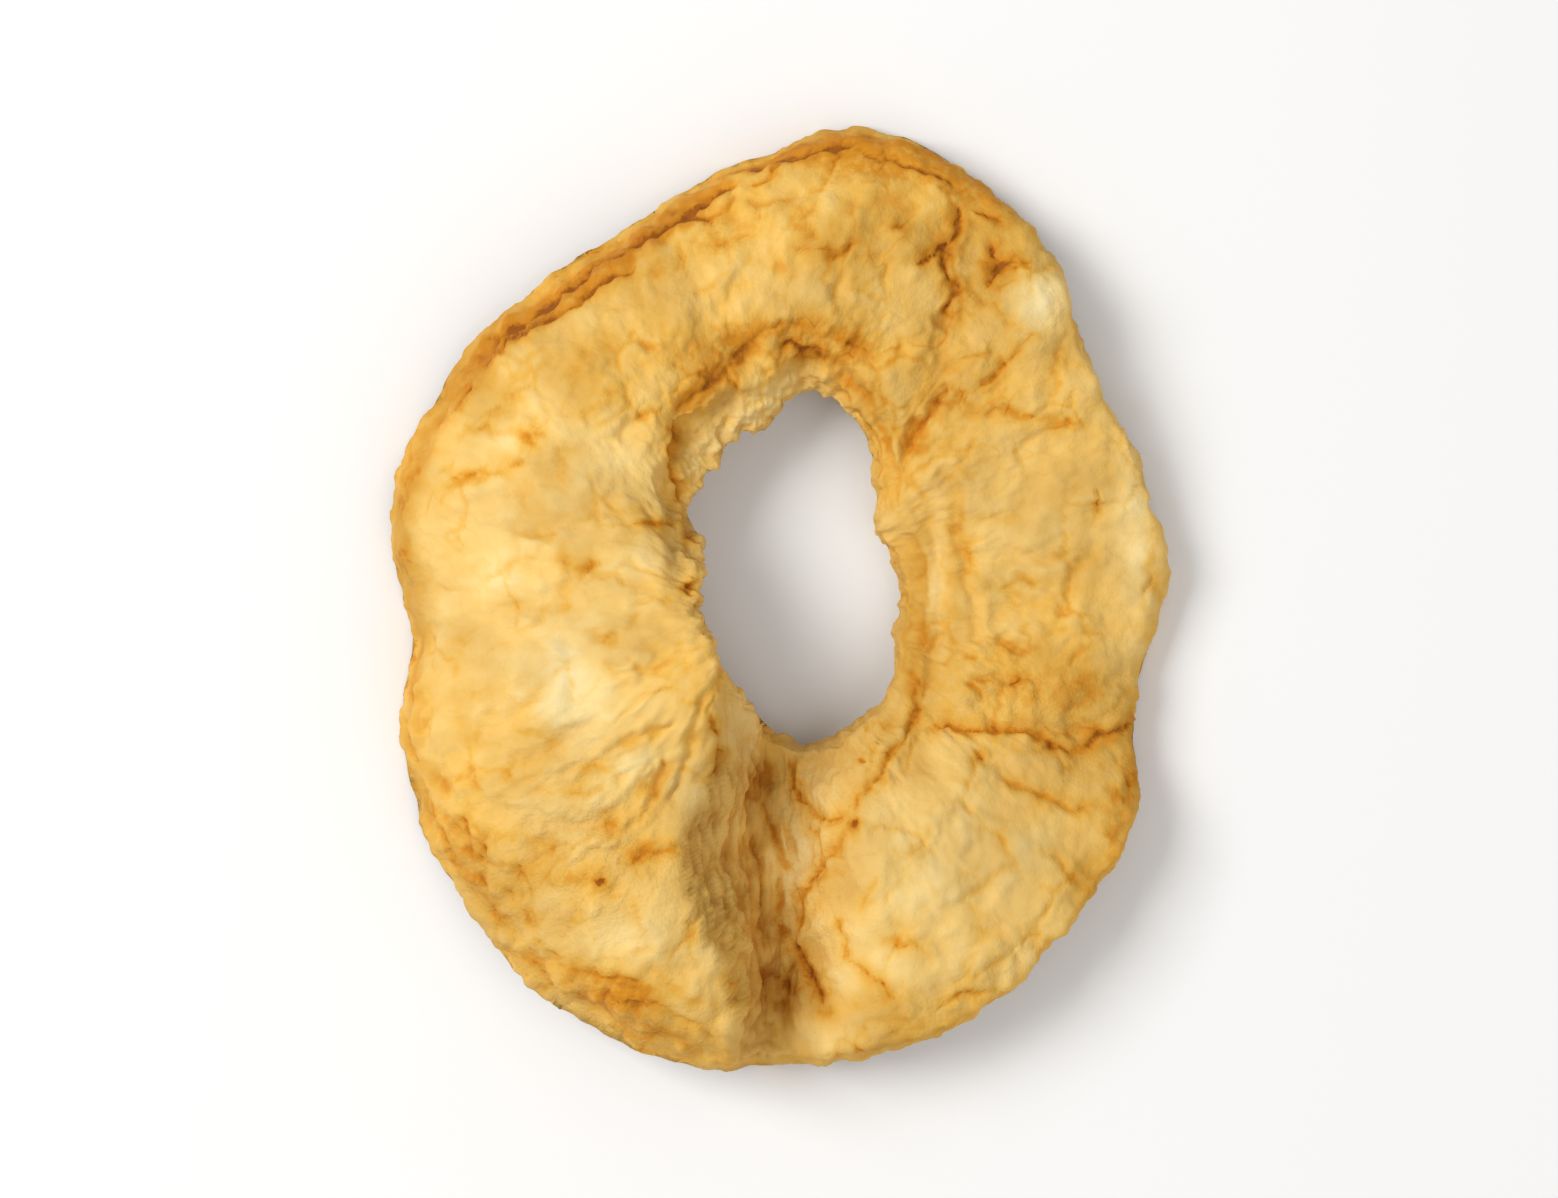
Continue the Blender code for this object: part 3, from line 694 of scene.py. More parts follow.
        (((-20.9, -18.8), (-20.4, -19.8)), 0.18, 0.14, 0.5, 0.3),
        (((-17, -22.4), (-15.6, -24), (-14.4, -25.3), (-13.2, -25.6), (-11, -25.4), (-9, -26)),
          0.2, 0.2, 0.5, 0.1),
        (((-9.4, -27.2), (-7.6, -28), (-5.6, -28.8), (-4, -30.6)), 0.24, 0.2, 0.25),
        (((-16.4, -26.2), (-14.6, -27.4), (-12.4, -28.2), (-10.8, -29.8)), 0.24, 0.24, 0.2),
        (((-9.6, -28.8), (-8, -29.8), (-6.4, -30.2), (-4.8, -31.4)), 0.24, 0.24, 0.2),
        (((-13.4, -29.2), (-11.6, -30.4), (-9.6, -31.2)), 0.24, 0.22, 0.15),
        (((-7.4, -25.6), (-6.2, -26.8), (-4.8, -27.2)), 0.2, 0.2, 0.35),
        (((-17.6, -24.2), (-16.6, -25), (-15.8, -26.2)), 0.22, 0.22, 0.25),
        (((-23.4, -14.6), (-22.8, -15.6), (-22, -16.4)), 0.2, 0.2, 0.3),
        (((-22.2, -17), (-21.2, -17.4), (-20.4, -18.2)), 0.17, 0.2, 0.35),
        (((-25.8, -6.4), (-25.9, -9), (-25.2, -11.4), (-24.6, -13.2)), 0.24, 0.18, 0.1),
        (((-24.8, -13.4), (-23.8, -15.4), (-23.2, -17), (-22.2, -18.4)), 0.14, 0.14, 0.4),
        (((-22.4, -14.2), (-21.4, -16), (-20.6, -16.6), (-20.2, -18)), 0.14, 0.16, 0.45),
        (((-21.6, -19.6), (-20.4, -20.6), (-19.8, -22), (-18.6, -22.8)), 0.14, 0.16, 0.4),
        (((-19.6, -19.2), (-18.6, -20), (-18.2, -21.4)), 0.14, 0.14, 0.4),
        (((-18.4, -24.4), (-17, -25.2), (-16.2, -26.6)), 0.14, 0.16, 0.35),
        (((-12.6, -26.4), (-11.2, -27.4), (-9.4, -27.6)), 0.14, 0.16, 0.4),
        (((-9, -24.6), (-7.8, -25.4), (-7, -26.6), (-5.6, -27.4)), 0.14, 0.16, 0.3),
        # On the high left side
        (((-12.5, -18.2), (-12.1, -18.8), (-11.5, -18.6)), 0.22, 0.25, 1.3, 0.3),
        (((-12.4, 3), (-13, 2.2), (-13.6, 1.2)), 0.18, 0.12, 0.5, 0.3),
        (((-21, -10.2), (-20.4, -8.4), (-19, -7)), 0.14, 0.12, 0.25),
        (((-10.8, -8.4), (-9.4, -6.6), (-7.6, -5.8), (-6, -6.2)), 0.14, 0.14, 0.3),
        (((-9.6, -15.2), (-8.6, -13.6), (-7.9, -11.8)), 0.14, 0.14, 0.3),
        (((-16.4, -17.4), (-15, -16.4), (-13.4, -16.6)), 0.14, 0.12, 0.3),
        (((-22.6, 10.6), (-20.8, 11.6), (-19, 13.4)), 0.14, 0.1, 0.25),
        (((-9.8, -0.6), (-8.2, 0.2), (-6.8, -0.4)), 0.14, 0.12, 0.25),
        (((-14.6, 3.4), (-14.4, 1.4), (-14.7, -0.8)), 0.26, 0.12, 0.3),
        (((-14.9, -12.9), (-12.8, -13.1), (-11.4, -12.4)), 0.17, 0.14, 0.35),
        (((-10.4, 5.2), (-8.6, 5.2), (-6.6, 4.8)), 0.2, 0.14, 0.5),
        (((-21.8, -6.4), (-20.2, -6.4), (-18.2, -5.6)), 0.22, 0.12, 0.2),
        (((-13, -2.4), (-11.8, -2.6), (-10.6, -2)), 0.18, 0.12, 0.35),
        (((-12.2, -4.2), (-10.8, -5), (-8.6, -4.6), (-6.8, -5.2)), 0.2, 0.14, 0.25),
        (((-24.4, 6), (-22.6, 7.6), (-20.6, 8.2), (-18.6, 9.2), (-17, 9.6)), 0.3, 0.14, 0.35),
        # Above the hole and down its upper left side, where the ledge begins
        (((-5.7, 3.2), (-6.1, 5), (-6.6, 6.8), (-7.4, 8.6), (-7.4, 10), (-6.9, 11.2), (-7.1, 12.2)),
          0.24, 0.36, 0.8, 0.1),
        (((-7.1, 12), (-6.4, 13.2), (-5.2, 14.2), (-4.2, 14.9), (-3.4, 15.8), (-2.9, 16.6), (-2, 17.6),
          (-1, 18.4), (0.6, 18.9), (2.4, 18.8)), 0.22, 0.12, 0.4, 0.08),
        (((-0.2, 17), (0.8, 17.6), (1.6, 17), (2.6, 17), (3.4, 16.3)), 0.2, 0.24, 0.7),
        (((4.4, 17.8), (5.6, 17.2), (6.6, 16.4)), 0.2, 0.2, 0.5),
        (((-3.5, 16), (-3.4, 15), (-2.8, 14.2)), 0.17, 0.2, 0.6),
        (((-9.9, 12.2), (-8.8, 12.7), (-7.6, 12.8)), 0.2, 0.16, 0.5),
        (((-6.5, 1.5), (-5.5, 0.8)), 0.24, 0.2, 1, 0.3),
        # Low ridges that follow the hole on its right
        (beside_hole(form, 0.9, 34, 78), 0.2, 0.16, 0.35),
        (beside_hole(form, 1.8, 30, 80), 0.22, 0.18, 0.4),
        (beside_hole(form, 2.7, 40, 70), 0.22, 0.14, 0.25),
        (beside_hole(form, 0.9, -40, 24), 0.22, 0.16, 0.1),
        (beside_hole(form, 1.8, -46, 30), 0.28, 0.22, 0.12),
        (beside_hole(form, 3.1, -42, 40), 0.34, 0.24, 0.08),
    )
    stains: tuple[Foot, ...] = feet(
        # Above the hole
        (1.6, 17.8, 4.4, 1.7, 0, 0.36), (-2.6, 17, 1.8, 1.2, 35, 0.3), (-4.6, 15.8, 2.2, 0.9, 42, 0.3),
        (5.6, 17, 2, 1, -20, 0.36), (3, 16.6, 1.3, 0.8, 0, 0.22), (-3.3, 18.2, 1.3, 0.8, 20, 0.3),
        (-6, 16.6, 1, 0.8, 30, 0.32), (-5.4, 14.2, 1.8, 0.9, 40, 0.4), (-8, 17.4, 1.8, 0.8, 20, 0.22),
        # The right side
        (16.4, 0.9, 2.6, 0.5, 0, 0.26), (17.2, -1.4, 3, 1.6, 0, 0.1), (16, 5.6, 2, 0.4, 0, 0.16),
        (9.8, -1, 1, 7, 0, 0.16), (11.8, 0, 0.5, 6, 0, 0.16), (12.9, 3.1, 0.45, 0.6, 0, 0.4),
        (12.9, 1.8, 0.5, 0.4, 0, 0.35), (9.4, 10.4, 0.9, 0.7, 40, 0.3), (13.2, -4, 0.4, 0.4, 0, 0.5),
        (17.2, -6.4, 0.9, 0.8, 0, 0.34), (15.6, -3.2, 1.5, 0.5, -20, 0.3), (16.4, -5.9, 6, 2.2, 0, 0.16),
        (21.4, -6, 1.8, 1.5, 0, 0.26), (19.8, -7.6, 0.7, 0.4, 0, 0.3), (22, -9.2, 1.8, 0.8, 0, 0.32),
        (24.7, -8.2, 0.6, 0.8, 0, 0.35), (25.9, 3, 0.4, 2, 0, 0.25), (19.5, 12, 1.4, 0.6, 0, 0.25),
        # The lower right lobe
        (12.6, -12.4, 1.4, 0.5, -30, 0.2), (15.3, -16.4, 0.6, 1.1, 0, 0.26),
        (13.2, -18.6, 0.7, 0.4, 0, 0.26), (8.6, -17.2, 0.9, 0.5, 20, 0.26), (14, -22.6, 1.2, 1, 0, 0.2),
        (8, -23.3, 1.3, 0.5, -10, 0.3), (9, -29.2, 1.5, 1, 0, 0.32), (12.4, -27, 1.6, 0.6, 20, 0.25),
        (23.4, -15, 1.1, 4.6, -15, 0.4), (21, -19.4, 1, 0.7, -40, 0.25),
        # The fold: the stains in the hollow at its upper end and in the pit at its lower end paint shade
        # there
        (-0.3, -27, 1.6, 1.9, 0, 0.32), (0.8, -26.8, 0.9, 0.5, 0, 0.35), (2.1, -25.7, 0.7, 1.6, 25, 0.35),
        (3.2, -28.2, 0.8, 0.7, 0, 0.4), (-0.9, -12.6, 0.6, 1.5, -10, 0.5), (5.1, -15.6, 0.4, 0.8, 0, 0.4),
        (2.4, -20, 1.2, 3.2, 15, 0.12),
        # The high left side
        (-16.8, 11.1, 0.8, 0.9, 0, 0.6), (-15, 9.8, 1.4, 0.5, 25, 0.26), (-13, 12.6, 0.9, 0.5, 30, 0.24),
        (-18.4, 14.2, 0.9, 0.6, 30, 0.28), (-19, 12.6, 3, 0.7, 35, 0.18), (-10.8, 14.4, 2.6, 0.8, 30, 0.2),
        (-13.4, 16.4, 3.6, 0.8, 30, 0.14), (-15.6, -9.6, 0.5, 2, -20, 0.16),
        (-9.4, -9.6, 1.8, 0.5, 35, 0.24), (-11.2, -15.6, 1.6, 0.6, 30, 0.26),
        (-19.4, -16.4, 0.9, 0.9, 0, 0.2), (-21.6, 8.3, 1.7, 0.5, 15, 0.35), (-18, 9.5, 1.6, 0.5, 15, 0.32),
        (-14.8, 8.8, 0.4, 1.2, 0, 0.2), (-8.6, 5.1, 1, 0.35, 0, 0.42), (-14.6, -0.6, 0.6, 0.4, 0, 0.4),
        (-14.6, 2.4, 0.6, 1.4, 0, 0.22), (-17.8, 2.2, 3.4, 0.6, 4, 0.16), (-18.4, -0.4, 3.2, 0.5, 4, 0.14),
        (-11.6, -2.5, 1, 0.5, 0, 0.3), (-11.8, -4.4, 0.8, 0.6, 0, 0.22), (-6.8, -4.2, 1.8, 1.6, 0, 0.16),
        (-21.8, -2.9, 1.4, 0.6, 20, 0.18), (-12.6, -11.3, 1.2, 0.7, 50, 0.42),
        (-14, -12.8, 1.1, 0.5, 10, 0.32), (-20.7, -12.1, 0.45, 0.8, 0, 0.45),
        (-18.4, -12.2, 0.4, 0.5, 0, 0.28), (-18, -16.1, 1, 0.35, 0, 0.36), (-14.4, -18.8, 2, 0.6, 5, 0.36),
        (-17.6, -18.4, 1.1, 0.6, 30, 0.24), (-11.8, -14.6, 0.8, 0.5, 0, 0.24),
        (-10, -20.8, 0.7, 0.7, 0, 0.22), (-14.2, -21.8, 0.9, 0.5, 20, 0.26),
        (-17.1, -21.6, 0.8, 0.6, 0, 0.46), (-9, -17, 1.3, 0.7, 20, 0.42), (-6.9, -16.7, 0.7, 0.4, 0, 0.42),
        (-5.8, -22, 0.4, 1.2, 0, 0.14), (-10.4, -26.6, 1.6, 0.9, -8, 0.85), (-8.8, -27, 0.7, 0.6, 0, 0.28),
        (-13.2, -27.4, 1, 0.5, 10, 0.36), (-10.8, -27.4, 4.2, 1.6, -14, 0.2), (-12, -30.2, 2.4, 1, 0, 0.14),
        # The stain on the left edge, at (-26.4, 4), paints shade there
        (-8.2, -29.2, 1.4, 0.6, -20, 0.24), (-21, -19.2, 0.4, 0.4, 0, 0.45), (-26.4, 4, 0.9, 7, 0, 0.14),
        (-21.4, -17.3, 0.6, 0.5, -40, 0.35), (-23.3, -12.8, 0.5, 0.6, 0, 0.32),
        (-22.4, -18.6, 3.4, 1.2, -55, 0.16),
        # The rims
        (6, 31.2, 5, 1.3, -6, 0.5), (6.4, 29.6, 4.4, 1.1, -8, 0.32), (5.2, 31.6, 1.6, 0.5, 4, 0.4),
        (10, 31, 1.2, 0.6, -30, 0.3), (1.6, 31.4, 1.2, 0.5, 10, 0.3), (8.1, 31.8, 0.6, 0.7, 0, 0.4),
        (12.6, 29.4, 5, 1.2, -40, 0.4), (-1, 30.9, 3, 0.6, 10, 0.4), (-12.6, 22.5, 2.2, 0.9, 35, 0.5),
        (-16.4, 19.8, 4, 1, 35, 0.32), (-21, 17, 2, 0.9, 45, 0.35), (-8.2, 25.3, 3.4, 0.7, 38, 0.5),
        (-4.4, 25, 2.4, 1.3, 25, 0.26), (9.2, 27, 2.6, 2, 0, 0.2), (-8.4, 22.4, 1.4, 0.6, 20, 0.25),
        (15.6, 23.1, 1.6, 0.6, 0, 0.4), (1.8, 27.6, 3.4, 0.6, 20, 0.14), (1, 25.2, 8, 3.6, 0, 0.12),
        (5, 24, 1.8, 1.2, 0, 0.14), (13, 24, 3, 3, 0, 0.08),
    )
    # Pale patches, mostly bleached flesh; those on the ledge above the hole paint light there, where the
    # ledge lies in shade
    pale: tuple[Foot, ...] = feet(
        (17.8, 20.5, 2.5, 2.2, 60, 1.3), (13.3, 23.4, 0.9, 1.3, 0, 0.35), (14.2, 18.4, 1.2, 1.4, 0, 0.25),
        (21.6, 15.4, 1, 2.6, 20, 0.4), (-14, -6, 5, 9, 25, 0.7), (-14.4, -6.4, 2.4, 3.4, 0, 0.7),
        (-13.2, -14.6, 2.4, 1.4, 40, 0.5), (-12.4, -16.6, 1, 0.8, 0, 0.4),
        (-15.6, -19.9, 1.1, 0.7, 10, 0.4), (-17.2, -14.4, 2, 1.6, 0, 0.7), (-6.2, -12.4, 1.3, 2.4, 15, 0.6),
        (-4.2, -18, 1.6, 6, -6, 0.5), (0.5, -18.6, 1.1, 3.6, 0, 0.8), (-20, 1.4, 2.2, 1.2, 10, 0.3),
        (-11.6, 10.4, 1.6, 2, 0, 0.45), (-16.4, 13.2, 1.4, 0.8, 25, 0.4), (-18.6, 10.9, 1, 0.7, 10, 0.4),
        (-10, -11.6, 2.6, 1, 35, 0.5), (-11.6, -22.6, 4.2, 2, 0, 0.9), (-8.6, -20.4, 2.4, 2.2, 20, 0.4),
        (-20, 5, 4, 7, -10, 0.6), (-13.4, 9, 3, 4, 0, 0.35), (-9.2, 2.6, 3, 1.2, 10, 0.6),
        (-9.6, 8.6, 1.6, 2.6, 0, 0.4), (-23.6, -2, 1, 8, 0, 0.2), (1.9, -17.4, 0.9, 2, 0, 0.7),
        (2.7, -22.2, 0.9, 1.1, 0, 0.5), (4.4, -26.2, 1.2, 1.2, 0, 0.4), (2.8, -12.8, 1.2, 1.4, 0, 0.4),
        (-2.4, -9.4, 1, 2.8, 18, 0.9), (-3.2, 11, 3.8, 1.4, 45, 0.75), (-0.4, 14, 1.4, 1, 30, 0.4),
        (7.4, -13.8, 2.2, 1.6, 0, 0.3), (12, -18.6, 6.4, 6.4, 0, 0.75), (6.8, -24.4, 1.8, 1, -40, 0.5),
        (18.2, -16.2, 1.2, 0.8, 0, 0.3), (17.4, -24, 5, 0.8, 42, 0.55), (5, -29.8, 4.4, 1, 12, 0.4),
        (10.9, 2.6, 0.7, 4.4, 0, 0.8), (1.6, -19.5, 3.6, 7.5, 0, 0.35), (24.8, 5, 1.4, 7, 0, 0.8),
        (17, 4, 4, 6, 0, 0.2), (7.4, 18.6, 2, 3.4, 0, 0.3), (1.6, 21.4, 2, 1.1, 0, 0.45),
        (-2.2, 22.6, 1.6, 2.2, 0, 0.25), (3.2, 27.8, 1.1, 1.3, 0, 0.3), (10, 21, 1.3, 1.7, 0, 0.25),
    )
    veined: tuple[Foot, ...] = feet(
        (13, 20, 7, 8, 0, 1), (16, 12.5, 5, 2.5, 0, 0.7), (15.5, -6, 7, 2.5, 0, 0.2),
        (2.5, -21, 3.5, 8, 0, 0.9), (1, 18, 6, 2.5, 0, 0.6), (-13, -24, 7, 4, -30, 0.5),
        (8, 26, 7, 3, -20, 0.5),
    )
    calm: tuple[Foot, ...] = feet(
        (18, 4.5, 6, 6.5, 0, 0.4), (10.2, -1, 2.6, 9, 0, 0.2), (12, -19.5, 7, 6, 0, 0.4),
        (-15, 2, 8, 9, 0, 0.4), (-7.6, -8, 3.6, 8, 8, 0.7), (-12, -22.5, 3, 3, 0, 0.2),
    )
    # Painted shade: spots where the colour is darkened in place of shade, such as on the left edge, beside
    # the hole on its right, in the fold's hollow and in its pit
    shaded: tuple[Foot, ...] = feet(
        (9.6, 0, 1.2, 8, 0, 0.9), (12.4, 0.5, 0.7, 6, 0, 0.7), (10.4, -5.5, 1.4, 2.4, 0, 0.6),
        (-26.2, 1, 1.3, 8, 0, 0.85), (-5, -13.6, 1.2, 2.6, 15, 0.3), (-0.6, -27, 2.2, 2.4, 0, 0.6),
        (-0.9, -12.6, 0.9, 2.2, -8, 0.9), (-4, 17.4, 2, 1.2, 20, 0.6), (17, -6.4, 5, 2, 0, 0.3),
        (11.6, 14, 1.6, 2.6, -30, 0.4), (12.6, 21.5, 2.4, 4, 0, 0.35), (-12, -29, 7, 2.2, -14, 0.15),
    )
    # Painted shade: spots along the fold's valley, in its pit and in the hollow at its upper end, which take
    # the fold's darker shade
    fold_shading: tuple[Foot, ...] = feet(
        (-0.6, -19, 1.1, 6.5, -6, 0.35), (-0.4, -26.6, 2, 2.4, 0, 0.6), (-0.9, -12.8, 1.2, 2.4, -8, 0.5),
    )
    coarse: tuple[Foot, ...] = feet(
        (1, -20, 4, 9, 0, 1.8), (-13, -18, 6, 6, 0, 1.6), (-21.4, -18.6, 7, 2.2, -55, 0.9),
        (14, 20, 5, 6, 0, 0.55), (17, -7, 6, 2.6, 0, 0.9), (-12, -28.5, 7, 2.6, -14, 1.2),
        (2, 18, 6, 2, 0, 0.5), (-7, 14, 3, 2.5, 40, 0.4), (13, -27, 6, 2, 30, 0.5),
    )

    def read(self, x: np.ndarray, y: np.ndarray) -> dict[str, np.ndarray]:
        """Reads the creases, the stains and the pale patches at points of the upper face.

        Args:
            x: distances to the right.
            y: distances up.

        Returns:
            By name: the groove's depth in mm, the browning beside creases, how far off the
            nearest crease is in its own widths, and the stain and pale shares.
        """
        shifted_x = x.copy()
        shifted_y = y.copy()
        free = 1.0 - self.flank_hold * self.form.fold.flank_share(x, y)
        for index, (size, swing) in enumerate(self.wander):
            layer = self.seed + 2.0 * index
            shifted_x += swing * free * grain(x / size, y / size, layer)
            shifted_y += swing * free * grain(x / size, y / size, layer + 1.0)
        uneven = grain(x / self.spread_size, y / self.spread_size, self.seed + self.spread_layer)
        spread = np.clip(1.0 + self.spread_swing * uneven, *self.spread_range)
        groove = np.zeros_like(x)
        browned = np.zeros_like(x)
        nearest = np.full_like(x, self.far_off)
        for crease in self.creases:
            depth, stain, off = crease.press(shifted_x, shifted_y, spread)
            groove += depth
            browned = np.maximum(browned, stain)
            nearest = np.minimum(nearest, off)
        groove *= 1.0 - self.valley_filling * self.form.fold.narrow_share(x, y)
        return {
            "groove": groove,
            "crease": browned,
            "off": nearest,
            "stain": weigh(self.stains, shifted_x, shifted_y),
            "pale": weigh(self.pale, shifted_x, shifted_y),
        }


class SocketKind(Enum):
    """The kinds of value that a node group takes or gives."""

    GEOMETRY = "NodeSocketGeometry"
    VALUE = "NodeSocketFloat"
    VECTOR = "NodeSocketVector"
    COLOUR = "NodeSocketColor"
    MATERIAL = "NodeSocketMaterial"


class Layer(float, Enum):
    """Seeds that keep the layers of noise apart."""

    FLOOR = 1.0
    BEND = 2.0
    ROUND_BEND = 3.0
    PATCH_BEND = 4.0
    FOLD_BEND = 5.0
    STREAK_BEND = 6.0
    CRACKLE_BEND = 9.0
    CRACKLE_GAPS = 17.0
    PEBBLES = 21.0
    CREPE = 22.0
    VEIN_BEND = 31.0
    RAGGED = 33.0
    STAINS = 37.0
    DIMMING = 41.0
    CREASE_GAPS = 43.0


class Sheet:
    """Adds nodes to one node tree and joins them."""

    seed_step = 37.3
    # A Mix node's share and its two colours, and its colour result
    mix_sockets = (0, 6, 7)
    mix_result = 2

    def __init__(self, tree: bpy.types.NodeTree) -> None:
        """Keeps the tree that nodes go into."""
        self.tree = tree

    def add(self, kind: str, **settings: object) -> bpy.types.Node:
        """Adds a node.

        Args:
            kind: the node's type.
            settings: its properties by name.

        Returns:
            The node.
        """
        node = self.tree.nodes.new(kind)
        for name, value in settings.items():
            setattr(node, name, value)
        return node

    def feed(self, target: Socket, value: object) -> None:
        """Joins a socket to another, or gives it a plain value.

        Args:
            target: the socket that is fed.
            value: another node's socket, or a value.
        """
        if isinstance(value, Socket):
            self.tree.links.new(value, target)
        else:
            target.default_value = value

    def math(self, operation: str, *terms: object) -> Socket:
        """Joins values by one sum.

        Args:
            operation: the Math node's operation.
            terms: its values, in order.

        Returns:
            The result.
        """
        node = self.add("ShaderNodeMath", operation=operation)
        for socket, term in zip(node.inputs, terms):
            self.feed(socket, term)
        return node.outputs[0]

    def total(self, *terms: tuple[object, object]) -> Socket:
        """Adds up values, each with its weight.

        Args:
            terms: pairs of a value and its weight.

        Returns:
            The sum.
        """
        result: object = 0.0
        for value, weight in terms:
            result = self.math("MULTIPLY_ADD", value, weight, result)
        return result

    def vector(self, operation: str, first: object, second: object) -> Socket:
        """Joins two vectors, or a vector and a scale, by one sum.

        Args:
            operation: the Vector Math node's operation.
            first: the vector.
            second: the other vector, or the scale.

        Returns:
            The vector that results.
        """
        node = self.add("ShaderNodeVectorMath", operation=operation)
        self.feed(node.inputs[0], first)
        self.feed(node.inputs["Scale"] if operation == "SCALE" else node.inputs[1], second)
        return node.outputs[0]

    def span(
        self, value: object, low: object, high: object, start: float = 0.0, end: float = 1.0
    ) -> Socket:
        """Maps one range of values to another, softly, and keeps within it.

        Args:
            value: the value to map.
            low: what becomes start.
            high: what becomes end.
            start: the result at low.
            end: the result at high.

        Returns:
            The mapped value.
        """
        node = self.add("ShaderNodeMapRange", interpolation_type="SMOOTHSTEP")
        for socket, given in zip(node.inputs, (value, low, high, start, end)):
            self.feed(socket, given)
        return node.outputs[0]

    def noise_node(
        self, place: object, size: object, seed: object, detail: float = 2.0, rough: float = 0.5
    ) -> bpy.types.Node:
        """Adds a noise texture.

        Args:
            place: where it is read.
            size: about how far across its features are.
            seed: what keeps it apart from other layers.
            detail: how many finer layers it has.
            rough: how strong the finer layers are.

        Returns:
            The texture's node.
        """
        node = self.add("ShaderNodeTexNoise")
        apart = self.add("ShaderNodeCombineXYZ")
        self.feed(apart.inputs[2], self.math("MULTIPLY", seed, self.seed_step))
        self.feed(node.inputs["Vector"], self.vector("ADD", place, apart.outputs[0]))
        self.feed(node.inputs["Scale"], self.math("DIVIDE", 1.0, size))
        node.inputs["Detail"].default_value = detail
        node.inputs["Roughness"].default_value = rough
        return node

    def noise(self, *settings: object, **more: float) -> Socket:
        """The value of a noise texture; its settings are those of noise_node."""
        return self.noise_node(*settings, **more).outputs[0]

    def warped(self, place: object, size: float, swing: float, seed: float) -> Socket:
        """Pushes a place about by noise.

        Args:
            place: the place.
            size: about how far across the noise's features are.
            swing: how far it pushes.
            seed: what keeps it apart from other layers.

        Returns:
            The place where it ends up.
        """
        push = self.noise_node(place, size, seed)
        centred = self.vector("SUBTRACT", push.outputs["Color"], (NOISE_MIDDLE,) * 3)
        return self.vector("ADD", place, self.vector("SCALE", centred, swing))

    def cell_edges(self, place: object, size: object) -> Socket:
        """Measures from the edges between random cells.

        Args:
            place: where they are read.
            size: about how far across a cell is.

        Returns:
            The distance from the nearest edge, in cells.
        """
        cells = self.add("ShaderNodeTexVoronoi", feature="DISTANCE_TO_EDGE", voronoi_dimensions="3D")
        self.feed(cells.inputs["Vector"], place)
        self.feed(cells.inputs["Scale"], self.math("DIVIDE", 1.0, size))
        return cells.outputs["Distance"]

    def multiplied(self, colour: object, share: object, shade: Colour) -> Socket:
        """Multiplies a colour by a shade.

        Args:
            colour: the colour.
            share: how much of the shade it takes.
            shade: the shade.

        Returns:
            The darker colour.
        """
        node = self.add("ShaderNodeMix", data_type="RGBA", blend_type="MULTIPLY")
        for index, given in zip(self.mix_sockets, (share, colour, shade)):
            self.feed(node.inputs[index], given)
        return node.outputs[self.mix_result]

    def marks(self, *names: str) -> dict[str, Socket]:
        """Reads values stored on the mesh, in a material, by their names."""
        read = {name: self.add("ShaderNodeAttribute", attribute_name=name) for name in names}
        return {name: node.outputs["Fac"] for name, node in read.items()}


def new_group(
    name: str, kind: str, inputs: dict[str, tuple[SocketKind, object]], outputs: dict[str, SocketKind]
) -> tuple[Sheet, dict[str, Socket], bpy.types.Node]:
    """Starts a node group with named inputs and outputs.

    Args:
        name: the group's name.
        kind: the tree's type, for shaders or for geometry.
        inputs: each input's kind and plain value, or None.
        outputs: each output's kind.

    Returns:
        The sheet to add nodes on, the sockets that carry the inputs, and the output node.
    """
    tree = bpy.data.node_groups.new(name, kind)
    for label, (socket, value) in inputs.items():
        made = tree.interface.new_socket(name=label, in_out="INPUT", socket_type=socket.value)
        if value is not None:
            made.default_value = value
    for label, socket in outputs.items():
        tree.interface.new_socket(name=label, in_out="OUTPUT", socket_type=socket.value)
    sheet = Sheet(tree)
    source = sheet.add("NodeGroupInput")
    return sheet, {label: source.outputs[label] for label in inputs}, sheet.add("NodeGroupOutput")


